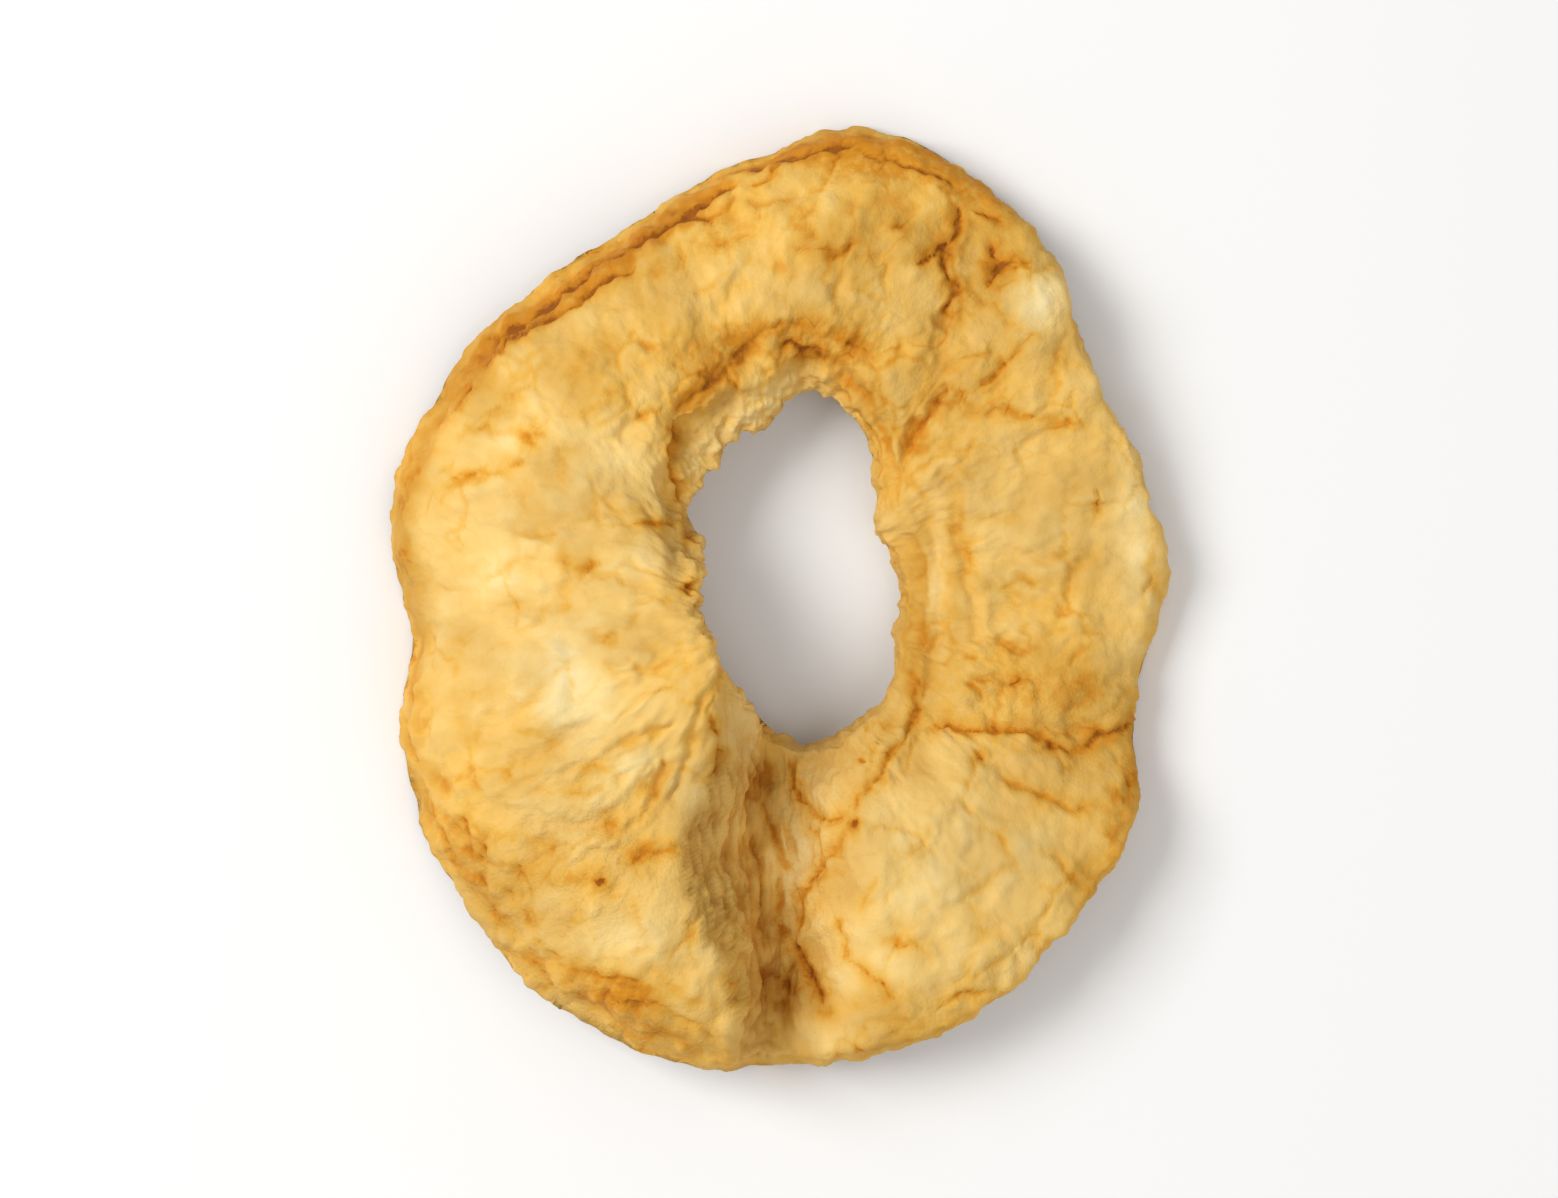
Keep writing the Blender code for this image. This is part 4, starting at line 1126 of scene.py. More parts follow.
@dataclass(frozen=True)
class DriedRelief:
    """Lumps, wrinkles, crumbs and crackle over the whole slice, sizes and depths in mm.

    A layer is (name, size, depth), and a bend is (size, swing) of the noise that pushes a
    layer's places about.
    """

    layers: tuple[tuple[str, float, float], ...] = (
        ("Lump", 4.0, 0.85), ("Wrinkle", 2.5, 0.2), ("Fine", 0.85, 0.09), ("Flank", 0.62, 0.36),
        ("Crumb", 1.15, 1.0), ("Crackle", 4.2, 0.12),
    )
    crackle_width: float = 0.07
    seed: float = 5.0
    bend: Pair = (2.6, 1.5)
    round_bend: Pair = (2.6, 2.6)
    fold_bend: Pair = (2.6, 0.6)
    fold_stretch: tuple[float, float, float] = (1.0, 0.1, 0.45)
    crackle_bend: Pair = (1.1, 0.9)
    crackle_gap_size: float = 3.2
    crackle_gaps: Pair = (0.45, 0.6)
    billow_top: float = 0.22
    billow_middle: float = 0.6
    calm_lumps: tuple[float, float, float, float] = (0.3, 1.0, 0.75, 1.0)
    pleat_seed: float = 3.0
    fine_seed: float = 7.0
    crumb_seed: float = 11.0

    def sizes(self) -> dict[str, float]:
        """Names the tree's plain inputs.

        Returns:
            Each layer's size and depth, the crackle's width and the seed, by name.
        """
        sizes = {f"{name} Size": size for name, size, _ in self.layers}
        depths = {f"{name} Depth": depth for name, _, depth in self.layers}
        return {**sizes, **depths, "Crackle Width": self.crackle_width, "Seed": self.seed}

    def attribute(self, sheet: Sheet, name: str, kind: str = "FLOAT") -> Socket:
        """Reads a value stored on the mesh.

        Args:
            sheet: the tree's sheet.
            name: the value's name.
            kind: its type.

        Returns:
            The value.
        """
        node = sheet.add("GeometryNodeInputNamedAttribute", data_type=kind)
        node.inputs["Name"].default_value = name
        return node.outputs["Attribute"]

    def store(self, sheet: Sheet, geometry: object, name: str, value: object) -> Socket:
        """Keeps a value on the mesh's points.

        Args:
            sheet: the tree's sheet.
            geometry: the mesh.
            name: the value's name.
            value: the value.

        Returns:
            The mesh with its value.
        """
        node = sheet.add("GeometryNodeStoreNamedAttribute", data_type="FLOAT", domain="POINT")
        node.inputs["Name"].default_value = name
        sheet.feed(node.inputs["Geometry"], geometry)
        sheet.feed(node.inputs["Value"], value)
        return node.outputs["Geometry"]

    def billow(
        self, sheet: Sheet, place: object, size: object, seed: object, detail: float = 2.0
    ) -> Socket:
        """Makes rounded swells with sharp valleys between them.

        Args:
            sheet: the tree's sheet.
            place: where they are read.
            size: about how far across a swell is.
            seed: what keeps them apart from other layers.
            detail: how many finer layers they have.

        Returns:
            From 0 in a valley to about 1.
        """
        value = sheet.noise(place, size, seed, detail)
        centred = sheet.math("ABSOLUTE", sheet.math("SUBTRACT", value, NOISE_MIDDLE))
        return sheet.span(centred, 0.0, self.billow_top)

    def crackle(self, sheet: Sheet, place: object, given: dict[str, Socket]) -> Socket:
        """Makes thin broken lines between cells.

        Args:
            sheet: the tree's sheet.
            place: where they are read.
            given: the tree's inputs.

        Returns:
            1 on a line and 0 beside it.
        """
        bent = sheet.warped(place, *self.crackle_bend, Layer.CRACKLE_BEND)
        near = sheet.cell_edges(bent, given["Crackle Size"])
        line = sheet.span(near, 0.0, given["Crackle Width"], 1.0, 0.0)
        gaps = sheet.noise(place, self.crackle_gap_size, Layer.CRACKLE_GAPS, 1.0)
        return sheet.math("MULTIPLY", line, sheet.span(gaps, *self.crackle_gaps))

    def build(self) -> bpy.types.NodeTree:
        """Builds the Geometry Nodes tree.

        Returns:
            The tree.
        """
        inputs: dict[str, tuple[SocketKind, object]] = {"Geometry": (SocketKind.GEOMETRY, None)}
        for label, value in self.sizes().items():
            inputs[label] = (SocketKind.VALUE, value)
        inputs["Flesh"] = (SocketKind.MATERIAL, None)
        outputs = {"Geometry": SocketKind.GEOMETRY}
        sheet, given, result = new_group("dried_relief", "GeometryNodeTree", inputs, outputs)
        place = sheet.vector("SCALE", sheet.add("GeometryNodeInputPosition").outputs[0], 1.0 / MM)
        bent = sheet.warped(place, *self.bend, Layer.BEND)
        polar = self.attribute(sheet, "polar", "FLOAT_VECTOR")
        bent_polar = sheet.warped(polar, *self.round_bend, Layer.ROUND_BEND)
        bent_fold = sheet.warped(place, *self.fold_bend, Layer.FOLD_BEND)
        along_fold = sheet.vector("MULTIPLY", bent_fold, self.fold_stretch)
        seed = given["Seed"]
        middle = self.billow_middle
        rough = self.attribute(sheet, "rough")
        flank = self.attribute(sheet, "flank")
        shelf = self.attribute(sheet, "shelf")
        lump = sheet.noise(bent, given["Lump Size"], seed)
        wrinkle = self.billow(sheet, bent_polar, given["Wrinkle Size"], seed)
        fine = self.billow(sheet, bent, given["Fine Size"], sheet.math("ADD", seed, self.fine_seed))
        pleat_seed = sheet.math("ADD", seed, self.pleat_seed)
        pleat = self.billow(sheet, along_fold, given["Flank Size"], pleat_seed, 1.0)
        crumb = sheet.noise(place, given["Crumb Size"], sheet.math("ADD", seed, self.crumb_seed))
        crackle = self.crackle(sheet, bent, given)
        lumped = sheet.math("MULTIPLY", sheet.span(rough, *self.calm_lumps), given["Lump Depth"])
        relief = sheet.total(
            (sheet.math("SUBTRACT", lump, NOISE_MIDDLE), sheet.math("MULTIPLY", lumped, NOISE_GAIN)),
            (sheet.math("SUBTRACT", wrinkle, middle), sheet.math("MULTIPLY", rough, given["Wrinkle Depth"])),
            (sheet.math("SUBTRACT", fine, middle), sheet.math("MULTIPLY", rough, given["Fine Depth"])),
            (sheet.math("MULTIPLY", sheet.math("SUBTRACT", pleat, middle), flank), given["Flank Depth"]),
            (sheet.math("MULTIPLY", sheet.math("SUBTRACT", crumb, NOISE_MIDDLE), shelf),
             sheet.math("MULTIPLY", given["Crumb Depth"], NOISE_GAIN)),
            (crackle, sheet.math("MULTIPLY", given["Crackle Depth"], -1.0)),
        )
        offset = sheet.total((relief, 1.0), (self.attribute(sheet, "groove"), 1.0))
        outward = sheet.add("GeometryNodeInputNormal").outputs[0]
        push = sheet.vector("SCALE", outward, sheet.math("MULTIPLY", offset, MM))
        # The pleats' furrows, kept for the finish, which darkens them as painted shade
        furrow = sheet.math("SUBTRACT", 1.0, pleat)
        stored = {"crackle": crackle, "wrinkle": wrinkle, "relief": relief, "pleat": furrow}
        geometry = given["Geometry"]
        for name, value in stored.items():
            geometry = self.store(sheet, geometry, name, value)
        moved = sheet.add("GeometryNodeSetPosition")
        sheet.feed(moved.inputs["Geometry"], geometry)
        sheet.feed(moved.inputs["Offset"], push)
        whole = sheet.add("GeometryNodeRealizeInstances")
        sheet.feed(whole.inputs[0], moved.outputs[0])
        dressed = sheet.add("GeometryNodeSetMaterial")
        sheet.feed(dressed.inputs["Geometry"], whole.outputs[0])
        sheet.feed(dressed.inputs["Material"], given["Flesh"])
        sheet.feed(result.inputs[0], dressed.outputs[0])
        return sheet.tree

    def raise_on(self, ring: bpy.types.Object, flesh: bpy.types.Material) -> None:
        """Puts the relief on the ring and leaves it a plain mesh.

        Args:
            ring: the smooth ring, with its marks stored on its points.
            flesh: the material that the tree sets.
        """
        tree = self.build()
        modifier = ring.modifiers.new("dried_relief", "NODES")
        modifier.node_group = tree
        values: dict[str, object] = {**self.sizes(), "Flesh": flesh}
        for item in tree.interface.items_tree:
            if item.in_out == "INPUT" and item.name in values:
                modifier[item.identifier] = values[item.name]
        graph = bpy.context.evaluated_depsgraph_get()
        mesh = bpy.data.meshes.new_from_object(
            ring.evaluated_get(graph), preserve_all_data_layers=True, depsgraph=graph
        )
        ring.modifiers.clear()
        ring.data = mesh


@dataclass(frozen=True)
class Mottling:
    """Shader group: uneven colour of dried flesh, as soft patches, streaks and flecks, in mm."""

    name: str = "flesh_mottling"
    patch_size: float = 8.0
    patch_rough: float = 0.45
    patch_bend: Pair = (3.0, 2.4)
    streak_size: float = 1.5
    streak_bend: Pair = (2.4, 2.0)
    fleck_size: float = 0.55
    fleck_rough: float = 0.65
    broad_range: Pair = (0.3, 0.7)
    fleck_range: Pair = (0.28, 0.72)

    def build(self) -> bpy.types.NodeTree:
        """Builds the group.

        Returns:
            The group, whose places are in mm.
        """
        sheet, given, result = new_group(
            self.name,
            "ShaderNodeTree",
            {
                "Place": (SocketKind.VECTOR, None),
                "Polar": (SocketKind.VECTOR, None),
                "Patch Size": (SocketKind.VALUE, self.patch_size),
                "Streak Size": (SocketKind.VALUE, self.streak_size),
                "Fleck Size": (SocketKind.VALUE, self.fleck_size),
                "Seed": (SocketKind.VALUE, 1.0),
            },
            {"Patch": SocketKind.VALUE, "Streak": SocketKind.VALUE, "Fleck": SocketKind.VALUE},
        )
        seed = given["Seed"]
        bent = sheet.warped(given["Place"], *self.patch_bend, Layer.PATCH_BEND)
        patch = sheet.noise(bent, given["Patch Size"], seed, RICH_DETAIL, self.patch_rough)
        bent_polar = sheet.warped(given["Polar"], *self.streak_bend, Layer.STREAK_BEND)
        streak = sheet.noise(bent_polar, given["Streak Size"], seed, RICH_DETAIL)
        fleck = sheet.noise(given["Place"], given["Fleck Size"], seed, RICH_DETAIL, self.fleck_rough)
        sheet.feed(result.inputs["Patch"], sheet.span(patch, *self.broad_range))
        sheet.feed(result.inputs["Streak"], sheet.span(streak, *self.broad_range))
        sheet.feed(result.inputs["Fleck"], sheet.span(fleck, *self.fleck_range))
        return sheet.tree


@dataclass(frozen=True)
class Veining:
    """Shader group: fine broken brown lines, as the flesh creases while it dries, in mm."""

    name: str = "flesh_veining"
    size: float = 2.4
    width: float = 0.05
    bend: Pair = (1.8, 2.2)
    gap_size: float = 2.0
    gap_rough: float = 0.6
    gap_range: Pair = (0.44, 0.62)
    halo_widths: float = 3.5

    def build(self) -> bpy.types.NodeTree:
        """Builds the group.

        Returns:
            The group, which gives 1 on a line and on the halo beside it.
        """
        sheet, given, result = new_group(
            self.name,
            "ShaderNodeTree",
            {
                "Place": (SocketKind.VECTOR, None),
                "Size": (SocketKind.VALUE, self.size),
                "Width": (SocketKind.VALUE, self.width),
                "Seed": (SocketKind.VALUE, 1.0),
            },
            {"Line": SocketKind.VALUE, "Halo": SocketKind.VALUE},
        )
        bent = sheet.warped(given["Place"], *self.bend, Layer.VEIN_BEND)
        widths_off = sheet.math("DIVIDE", sheet.cell_edges(bent, given["Size"]), given["Width"])
        gaps = sheet.noise(given["Place"], self.gap_size, given["Seed"], rough=self.gap_rough)
        broken = sheet.span(gaps, *self.gap_range)
        for label, reach in (("Line", 1.0), ("Halo", self.halo_widths)):
            near = sheet.math("SUBTRACT", 1.0, sheet.span(widths_off, 0.0, reach))
            sheet.feed(result.inputs[label], sheet.math("MULTIPLY", near, broken))
        return sheet.tree


@dataclass(frozen=True)
class Browning:
    """Shader group: the colour that dried flesh takes as it browns, from cream to dark brown."""

    name: str = "flesh_browning"
    usual: float = 0.3
    stops: tuple[tuple[float, Colour], ...] = (
        (0.0, (0.89, 0.73, 0.43, 1.0)),
        (0.11, (0.875, 0.685, 0.32, 1.0)),
        (0.25, (0.85, 0.585, 0.2, 1.0)),
        (0.46, (0.79, 0.455, 0.085, 1.0)),
        (0.66, (0.68, 0.28, 0.02, 1.0)),
        (0.84, (0.38, 0.12, 0.01, 1.0)),
        (1.0, (0.15, 0.045, 0.006, 1.0)),
    )

    def build(self) -> bpy.types.NodeTree:
        """Builds the group.

        Returns:
            The group, a ramp from cream at 0 to dark brown at 1.
        """
        inputs = {"Browned": (SocketKind.VALUE, self.usual)}
        outputs = {"Colour": SocketKind.COLOUR}
        sheet, given, result = new_group(self.name, "ShaderNodeTree", inputs, outputs)
        ramp = sheet.add("ShaderNodeValToRGB")
        elements = ramp.color_ramp.elements
        for index, (place, colour) in enumerate(self.stops):
            stop = elements[index] if index < 2 else elements.new(place)
            stop.position = place
            stop.color = colour
        sheet.feed(ramp.inputs[0], given["Browned"])
        sheet.feed(result.inputs["Colour"], ramp.outputs["Color"])
        return sheet.tree


@dataclass(frozen=True)
class DriedFlesh:
    """The finish of the dried slice: matt, leathery, cream gold, browned in its creases, with shade painted
    into its colour in places.

    The first fields say how much each mark adds to the browning, which starts at base. Sizes
    are in mm.
    """

    base: float = 0.35
    patch: float = -0.075
    streak: float = 0.06
    fleck: float = 0.022
    wrinkle: float = -0.05
    relief: float = -0.07
    crackle: float = 0.14
    crease: float = 0.28
    crease_halo: float = 0.25
    vein: float = 0.1
    vein_halo: float = 0.03
    stain: float = 0.55
    rim: float = 0.2
    pale: float = -0.22
    deepest_stain: float = 0.66
    stain_softness: float = 0.2
    deepest: float = 0.86
    stain_grain: float = 1.0
    stain_rough: float = 0.6
    stain_span: tuple[float, float, float, float] = (0.3, 0.7, 0.4, 1.5)
    rim_span: Pair = (0.6, 1.25)
    ragged_size: float = 0.45
    ragged_rough: float = 0.65
    ragged_swing: float = 1.5
    line_reach: float = 1.5
    line_gap_size: float = 0.9
    line_gaps: tuple[float, float, float, float] = (0.34, 0.6, 0.55, 1.15)
    # Painted shade on the fold: how browning past a level turns into a darker shade, and how much the
    # pleats' furrows darken
    fold_level: float = 0.38
    fold_hold: float = 0.55
    fold_gain: float = 2.6
    pleat_shade: float = 0.55
    pleat_edge: float = 4.0
    # Painted shade: a random darkening over a few mm, in place of the shading of soft lumps; the shaded
    # spots add to it
    dimming: float = 0.85
    dimming_size: float = 4.2
    dimming_range: Pair = (0.32, 0.68)
    # Painted shade colours: for the side walls, for the random darkening and the shaded spots, and for the
    # fold
    rim_shade: Colour = (0.9, 0.82, 0.62, 1.0)
    painted_shade_colour: Colour = (0.8, 0.76, 0.69, 1.0)
    fold_shade: Colour = (0.57, 0.415, 0.285, 1.0)
    roughness: Pair = (0.6, 0.8)
    specular: float = 0.09
    pebble_size: float = 0.3
    pebble_rough: float = 0.6
    pebble_height: float = 0.05
    crepe_size: float = 0.55
    crepe_height: float = 0.07

    def crease_line(self, sheet: Sheet, place: Socket, marks: dict[str, Socket]) -> Socket:
        """Draws the dark, ragged and broken line along each crease.

        Args:
            sheet: the material's sheet.
            place: the place in mm.
            marks: what is stored on the mesh.

        Returns:
            How strong the line is.
        """
        ragged = sheet.noise(place, self.ragged_size, Layer.RAGGED, RICH_DETAIL, self.ragged_rough)
        shift = sheet.math("SUBTRACT", ragged, NOISE_MIDDLE)
        off = sheet.total((shift, self.ragged_swing), (marks["off"], 1.0))
        near = sheet.span(off, 0.0, self.line_reach, 1.0, 0.0)
        gaps = sheet.noise(place, self.line_gap_size, Layer.CREASE_GAPS)
        line = sheet.math("MULTIPLY", near, marks["crease"])
        return sheet.math("MULTIPLY", line, sheet.span(gaps, *self.line_gaps))

    def browned(
        self, sheet: Sheet, place: Socket, polar: Socket, marks: dict[str, Socket], uneven: list[Socket]
    ) -> Socket:
        """Adds up what browns the flesh.

        Args:
            sheet: the material's sheet.
            place: the place in mm.
            polar: the place along and round the slice.
            marks: what is stored on the mesh.
            uneven: the mottling's patches, streaks and flecks.

        Returns:
            The browning, from 0 to 1.
        """
        patch, streak, fleck = uneven
        vein = sheet.add("ShaderNodeGroup", node_tree=Veining().build())
        sheet.feed(vein.inputs["Place"], polar)
        veined = sheet.math("MULTIPLY", vein.outputs["Line"], marks["veined"])
        halo = sheet.math("MULTIPLY", vein.outputs["Halo"], marks["veined"])
        spots = sheet.noise(place, self.stain_grain, Layer.STAINS, RICH_DETAIL, self.stain_rough)
        stain = sheet.math("MULTIPLY", marks["stain"], sheet.span(spots, *self.stain_span))
        rim = sheet.math("MULTIPLY", marks["rim"], sheet.span(streak, 0.0, 1.0, *self.rim_span))
        middle = NOISE_MIDDLE * (self.patch + self.streak + self.fleck + self.wrinkle)
        stained = sheet.total(
            (patch, self.patch),
            (streak, self.streak),
            (fleck, self.fleck),
            # Wrinkle valleys and the relief's low places brown more: partly browning in the furrows, partly
            # painted shade
            (marks["wrinkle"], self.wrinkle),
            (marks["relief"], self.relief),
            (marks["crease"], self.crease_halo),
            (halo, self.vein_halo),
            (stain, self.stain),
            (rim, self.rim),
            (marks["pale"], self.pale),
            (1.0, self.base - middle),
        )
        held = sheet.math("SMOOTH_MIN", stained, self.deepest_stain, self.stain_softness)
        line = self.crease_line(sheet, place, marks)
        return sheet.total(
            (held, 1.0), (marks["crackle"], self.crackle), (veined, self.vein), (line, self.crease)
        )

    def coloured(self, sheet: Sheet, browned: Socket, polar: Socket, marks: dict[str, Socket]) -> Socket:
        """Turns browning into colour and darkens it with painted shade: at random over a few mm, on the
        shaded spots, on the side walls, and on the fold, where part of the browning turns to a greyer shade
        and the pleats' furrows darken.

        Args:
            sheet: the material's sheet.
            browned: the browning.
            polar: the place along and round the slice.
            marks: what is stored on the mesh.

        Returns:
            The flesh's colour.
        """
        # Painted shade on the fold: on its steep side, browning past fold_level becomes a darker shade, and
        # the pleats' furrows darken
        on_fold = sheet.math("MULTIPLY", marks["flank"], self.fold_hold)
        darker = sheet.math("MULTIPLY", on_fold, sheet.math("SUBTRACT", browned, self.fold_level))
        browned = sheet.math("SUBTRACT", browned, darker)
        sharp = sheet.math("POWER", marks["pleat"], self.pleat_edge)
        pleats = sheet.math("MULTIPLY", sharp, marks["flank"])
        fold_shading = sheet.total((darker, self.fold_gain), (pleats, self.pleat_shade))
        ramp = sheet.add("ShaderNodeGroup", node_tree=Browning().build())
        sheet.feed(ramp.inputs["Browned"], sheet.math("MINIMUM", browned, self.deepest))
        # Painted shade: the random darkening and the shaded spots, then the fold's shade and the side walls'
        # shade
        dim = sheet.span(sheet.noise(polar, self.dimming_size, Layer.DIMMING), *self.dimming_range)
        painted_shade_share = sheet.total((dim, self.dimming), (marks["shaded"], 1.0))
        colour = ramp.outputs["Colour"]
        for share, shade in (
            (painted_shade_share, self.painted_shade_colour), (fold_shading, self.fold_shade), (marks["rim"], self.rim_shade)
        ):
            colour = sheet.multiplied(colour, share, shade)
        return colour

    def bumped(self, sheet: Sheet, place: Socket, polar: Socket, marks: dict[str, Socket]) -> Socket:
        """Raises the finest pebbles and crepe.

        Args:
            sheet: the material's sheet.
            place: the place in mm.
            polar: the place along and round the slice.
            marks: what is stored on the mesh.

        Returns:
            The surface's normal.
        """
        pebble = sheet.noise(place, self.pebble_size, Layer.PEBBLES, rough=self.pebble_rough)
        crepe = sheet.noise(polar, self.crepe_size, Layer.CREPE)
        height = sheet.total((pebble, self.pebble_height), (crepe, self.crepe_height))
        bump = sheet.add("ShaderNodeBump")
        bump.inputs["Distance"].default_value = MM
        sheet.feed(bump.inputs["Height"], sheet.math("MULTIPLY", height, marks["rough"]))
        return bump.outputs["Normal"]

    def build(self) -> bpy.types.Material:
        """Builds the material from its shader groups.

        Returns:
            The material.
        """
        flesh = bpy.data.materials.new("dried_flesh")
        flesh.use_nodes = True
        sheet = Sheet(flesh.node_tree)
        shader = flesh.node_tree.nodes["Principled BSDF"]
        place = sheet.vector("SCALE", sheet.add("ShaderNodeTexCoord").outputs["Object"], 1.0 / MM)
        polar = sheet.add("ShaderNodeAttribute", attribute_name="polar").outputs["Vector"]
        marks = sheet.marks(
            "rim", "crease", "off", "stain", "pale", "crackle", "wrinkle", "relief", "flank", "veined",
            "rough", "shaded", "pleat",
        )
        mottling = sheet.add("ShaderNodeGroup", node_tree=Mottling().build())
        sheet.feed(mottling.inputs["Place"], place)
        sheet.feed(mottling.inputs["Polar"], polar)
        browned = self.browned(sheet, place, polar, marks, list(mottling.outputs))
        sheet.feed(shader.inputs["Base Color"], self.coloured(sheet, browned, polar, marks))
        fleck = mottling.outputs["Fleck"]
        sheet.feed(shader.inputs["Roughness"], sheet.span(fleck, 0.0, 1.0, *self.roughness))
        sheet.feed(shader.inputs["Normal"], self.bumped(sheet, place, polar, marks))
        shader.inputs["Specular IOR Level"].default_value = self.specular
        return flesh


@dataclass(frozen=True)
class AppleRing:
    """The dried slice: one closed mesh, a grid wrapped round the hole and round its section."""

    form: SliceForm = SliceForm()
    marks: SurfaceMarks = SurfaceMarks()
    relief: DriedRelief = DriedRelief()
    # How much the side wall browns and takes the darker painted shade of the walls, by angle
    rim_browning_and_shade: Stations = (
        (0, 0.2), (50, 0.25), (75, 0.4), (100, 0.5), (125, 0.55), (150, 0.55), (180, 0.4),
        (215, 0.3), (245, 0.3), (262, 0.3), (290, 0.35), (330, 0.4),
    )
    hole_crumbs: Stations = (
        (0, 0.15), (50, 0.35), (80, 0.8), (110, 1.0), (165, 1.0), (200, 0.7), (235, 0.3),
        (270, 0.15), (320, 0.12),
    )
    steps_round: int = 740
    top_steps: int = 78
    wall_steps: int = 14
    under_steps: int = 26
    edge_share: float = 0.01
    streak_start: float = 7.0
    streak_spread: float = 0.6
    streak_climb: float = 0.3
    streak_turn: float = 2.5
    top_edge: Pair = (-0.4, 0.0)
    wall_edge: Pair = (0.72, 0.95)
    shelf_reach: float = 0.1
    shelf_top: float = 0.6
    valley_calm: float = 0.35
    rough_range: Pair = (0.35, 2.5)
    least_veined: float = 0.4

    def section_angles(self) -> np.ndarray:
        """Spaces points round the section, close together on the upper face and on the walls.

        Returns:
            Their angles, from the rim's top over the upper face and back under the slice.
        """
        near = 1.0 - self.edge_share
        far = self.edge_share
        top = np.arccos(2.0 * np.linspace(near, far, self.top_steps) - 1.0)
        under = np.arccos(2.0 * np.linspace(far, near, self.under_steps) - 1.0)
        level = abs(math.sin(top[0])) ** self.form.bluntness
        levels = np.linspace(level, -level, self.wall_steps + 2)[1:-1]
        down = np.arcsin(np.sign(levels) * np.abs(levels) ** (1.0 / self.form.bluntness))
        return np.concatenate((top, math.pi - down, 2.0 * math.pi - under, -down))

    def faces(self, across: int) -> list[tuple[int, int, int, int]]:
        """Joins the wrapped grid's points.

        Args:
            across: the number of points round the section.

        Returns:
            Four-sided faces, facing outwards.
        """
        rounds = [(i, (i + 1) % self.steps_round) for i in range(self.steps_round)]
        cross = [(j, (j + 1) % across) for j in range(across)]
        return [
            (i * across + j, k * across + j, k * across + m, i * across + m)
            for i, k in rounds
            for j, m in cross
        ]

    def set_down(self, points: np.ndarray) -> np.ndarray:
        """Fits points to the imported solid's box and rests them on flattened spots.

        Args:
            points: the points in mm.

        Returns:
            The points in their places, in mm.
        """
        low, high = (np.array(corner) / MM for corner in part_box(CAD_NODE))
        least = points.min(axis=0)
        most = points.max(axis=0)
        scale = (high - low)[:2] / (most - least)[:2]
        placed = points.copy()
        placed[:, :2] = low[:2] + (points[:, :2] - least[:2]) * scale
        placed[:, 2] = np.maximum(points[:, 2] - least[2] - self.form.contact_flat, 0.0)
        return placed

    def store(self, mesh: bpy.types.Mesh, name: str, values: np.ndarray) -> None:
        """Keeps one value, or one vector, for each point of the mesh.

        Args:
            mesh: the mesh.
            name: the value's name.
            values: a row for each point.
        """
        kind, field_name = ("FLOAT", "value") if values.ndim == 1 else ("FLOAT_VECTOR", "vector")
        attribute = mesh.attributes.new(name, kind, "POINT")
        attribute.data.foreach_set(field_name, values.astype(np.float32).ravel())

    def streaks(self, x: np.ndarray, y: np.ndarray, turn: np.ndarray, upward: np.ndarray) -> np.ndarray:
        """Lays out the space in which long noise runs outwards from the hole.

        Args:
            x: distances to the right.
            y: distances up.
            turn: angles round the hole, in radians.
            upward: how far up the section points lie, from -1 to 1.

        Returns:
            Each point's place in that space.
        """
        radius = np.hypot(x, y)
        reach = self.streak_start + self.streak_spread * radius
        rise = self.streak_climb * radius + self.streak_turn * upward
        return np.stack((np.cos(turn) * reach, np.sin(turn) * reach, rise), axis=1)

    def mark(
        self, mesh: bpy.types.Mesh, points: np.ndarray, share: np.ndarray, upward: np.ndarray,
        turn: np.ndarray,
    ) -> None:
        """Stores on the mesh what the relief and the finish read.

        Args:
            mesh: the ring's mesh.
            points: its points in mm, before they are set down.
            share: how far from the hole to the rim each point lies.
            upward: how far up the section it lies, from -1 to 1.
            turn: its angle round the hole, in radians.
        """
        x, y = points[:, 0], points[:, 1]
        degrees = np.degrees(turn)
        fold = self.form.fold
        marks = self.marks
        on_top = smooth(*self.top_edge, upward)
        wall = 1.0 - smooth(*self.wall_edge, np.abs(upward))
        for name, values in marks.read(x, y).items():
            beneath = marks.far_off * (1.0 - on_top)
            self.store(mesh, name, values + beneath if name == "off" else values * on_top)
        shelf = wall * (share < 0.5) + self.shelf_top * (1.0 - smooth(0.0, self.shelf_reach, share))
        # Painted shade: the fold's steep side and the fold spots, where the finish darkens the colour;
        # stored as the flank
        fold_shading = np.maximum(fold.flank_share(x, y), np.clip(weigh(marks.fold_shading, x, y), 0.0, 1.0))
        rough = 1.0 - weigh(marks.calm, x, y) + weigh(marks.coarse, x, y)
        steady = 1.0 - self.valley_calm * fold.narrow_share(x, y)
        veined = self.least_veined + weigh(marks.veined, x, y)
        for name, values in (
            # The side wall, which browns and which the finish also darkens as painted shade
            ("rim", wall * (share > 0.5) * read_rail(self.rim_browning_and_shade, degrees)),
            ("shelf", np.clip(shelf, 0.0, 1.0) * read_rail(self.hole_crumbs, degrees)),
            ("flank", fold_shading * on_top),
            ("rough", np.clip(rough, *self.rough_range) * steady),
            ("shaded", np.clip(weigh(marks.shaded, x, y), 0.0, 1.0) * on_top),
            ("veined", np.clip(veined, 0.0, 1.0) * on_top),
            ("polar", self.streaks(x, y, turn, upward)),
        ):
            self.store(mesh, name, values)

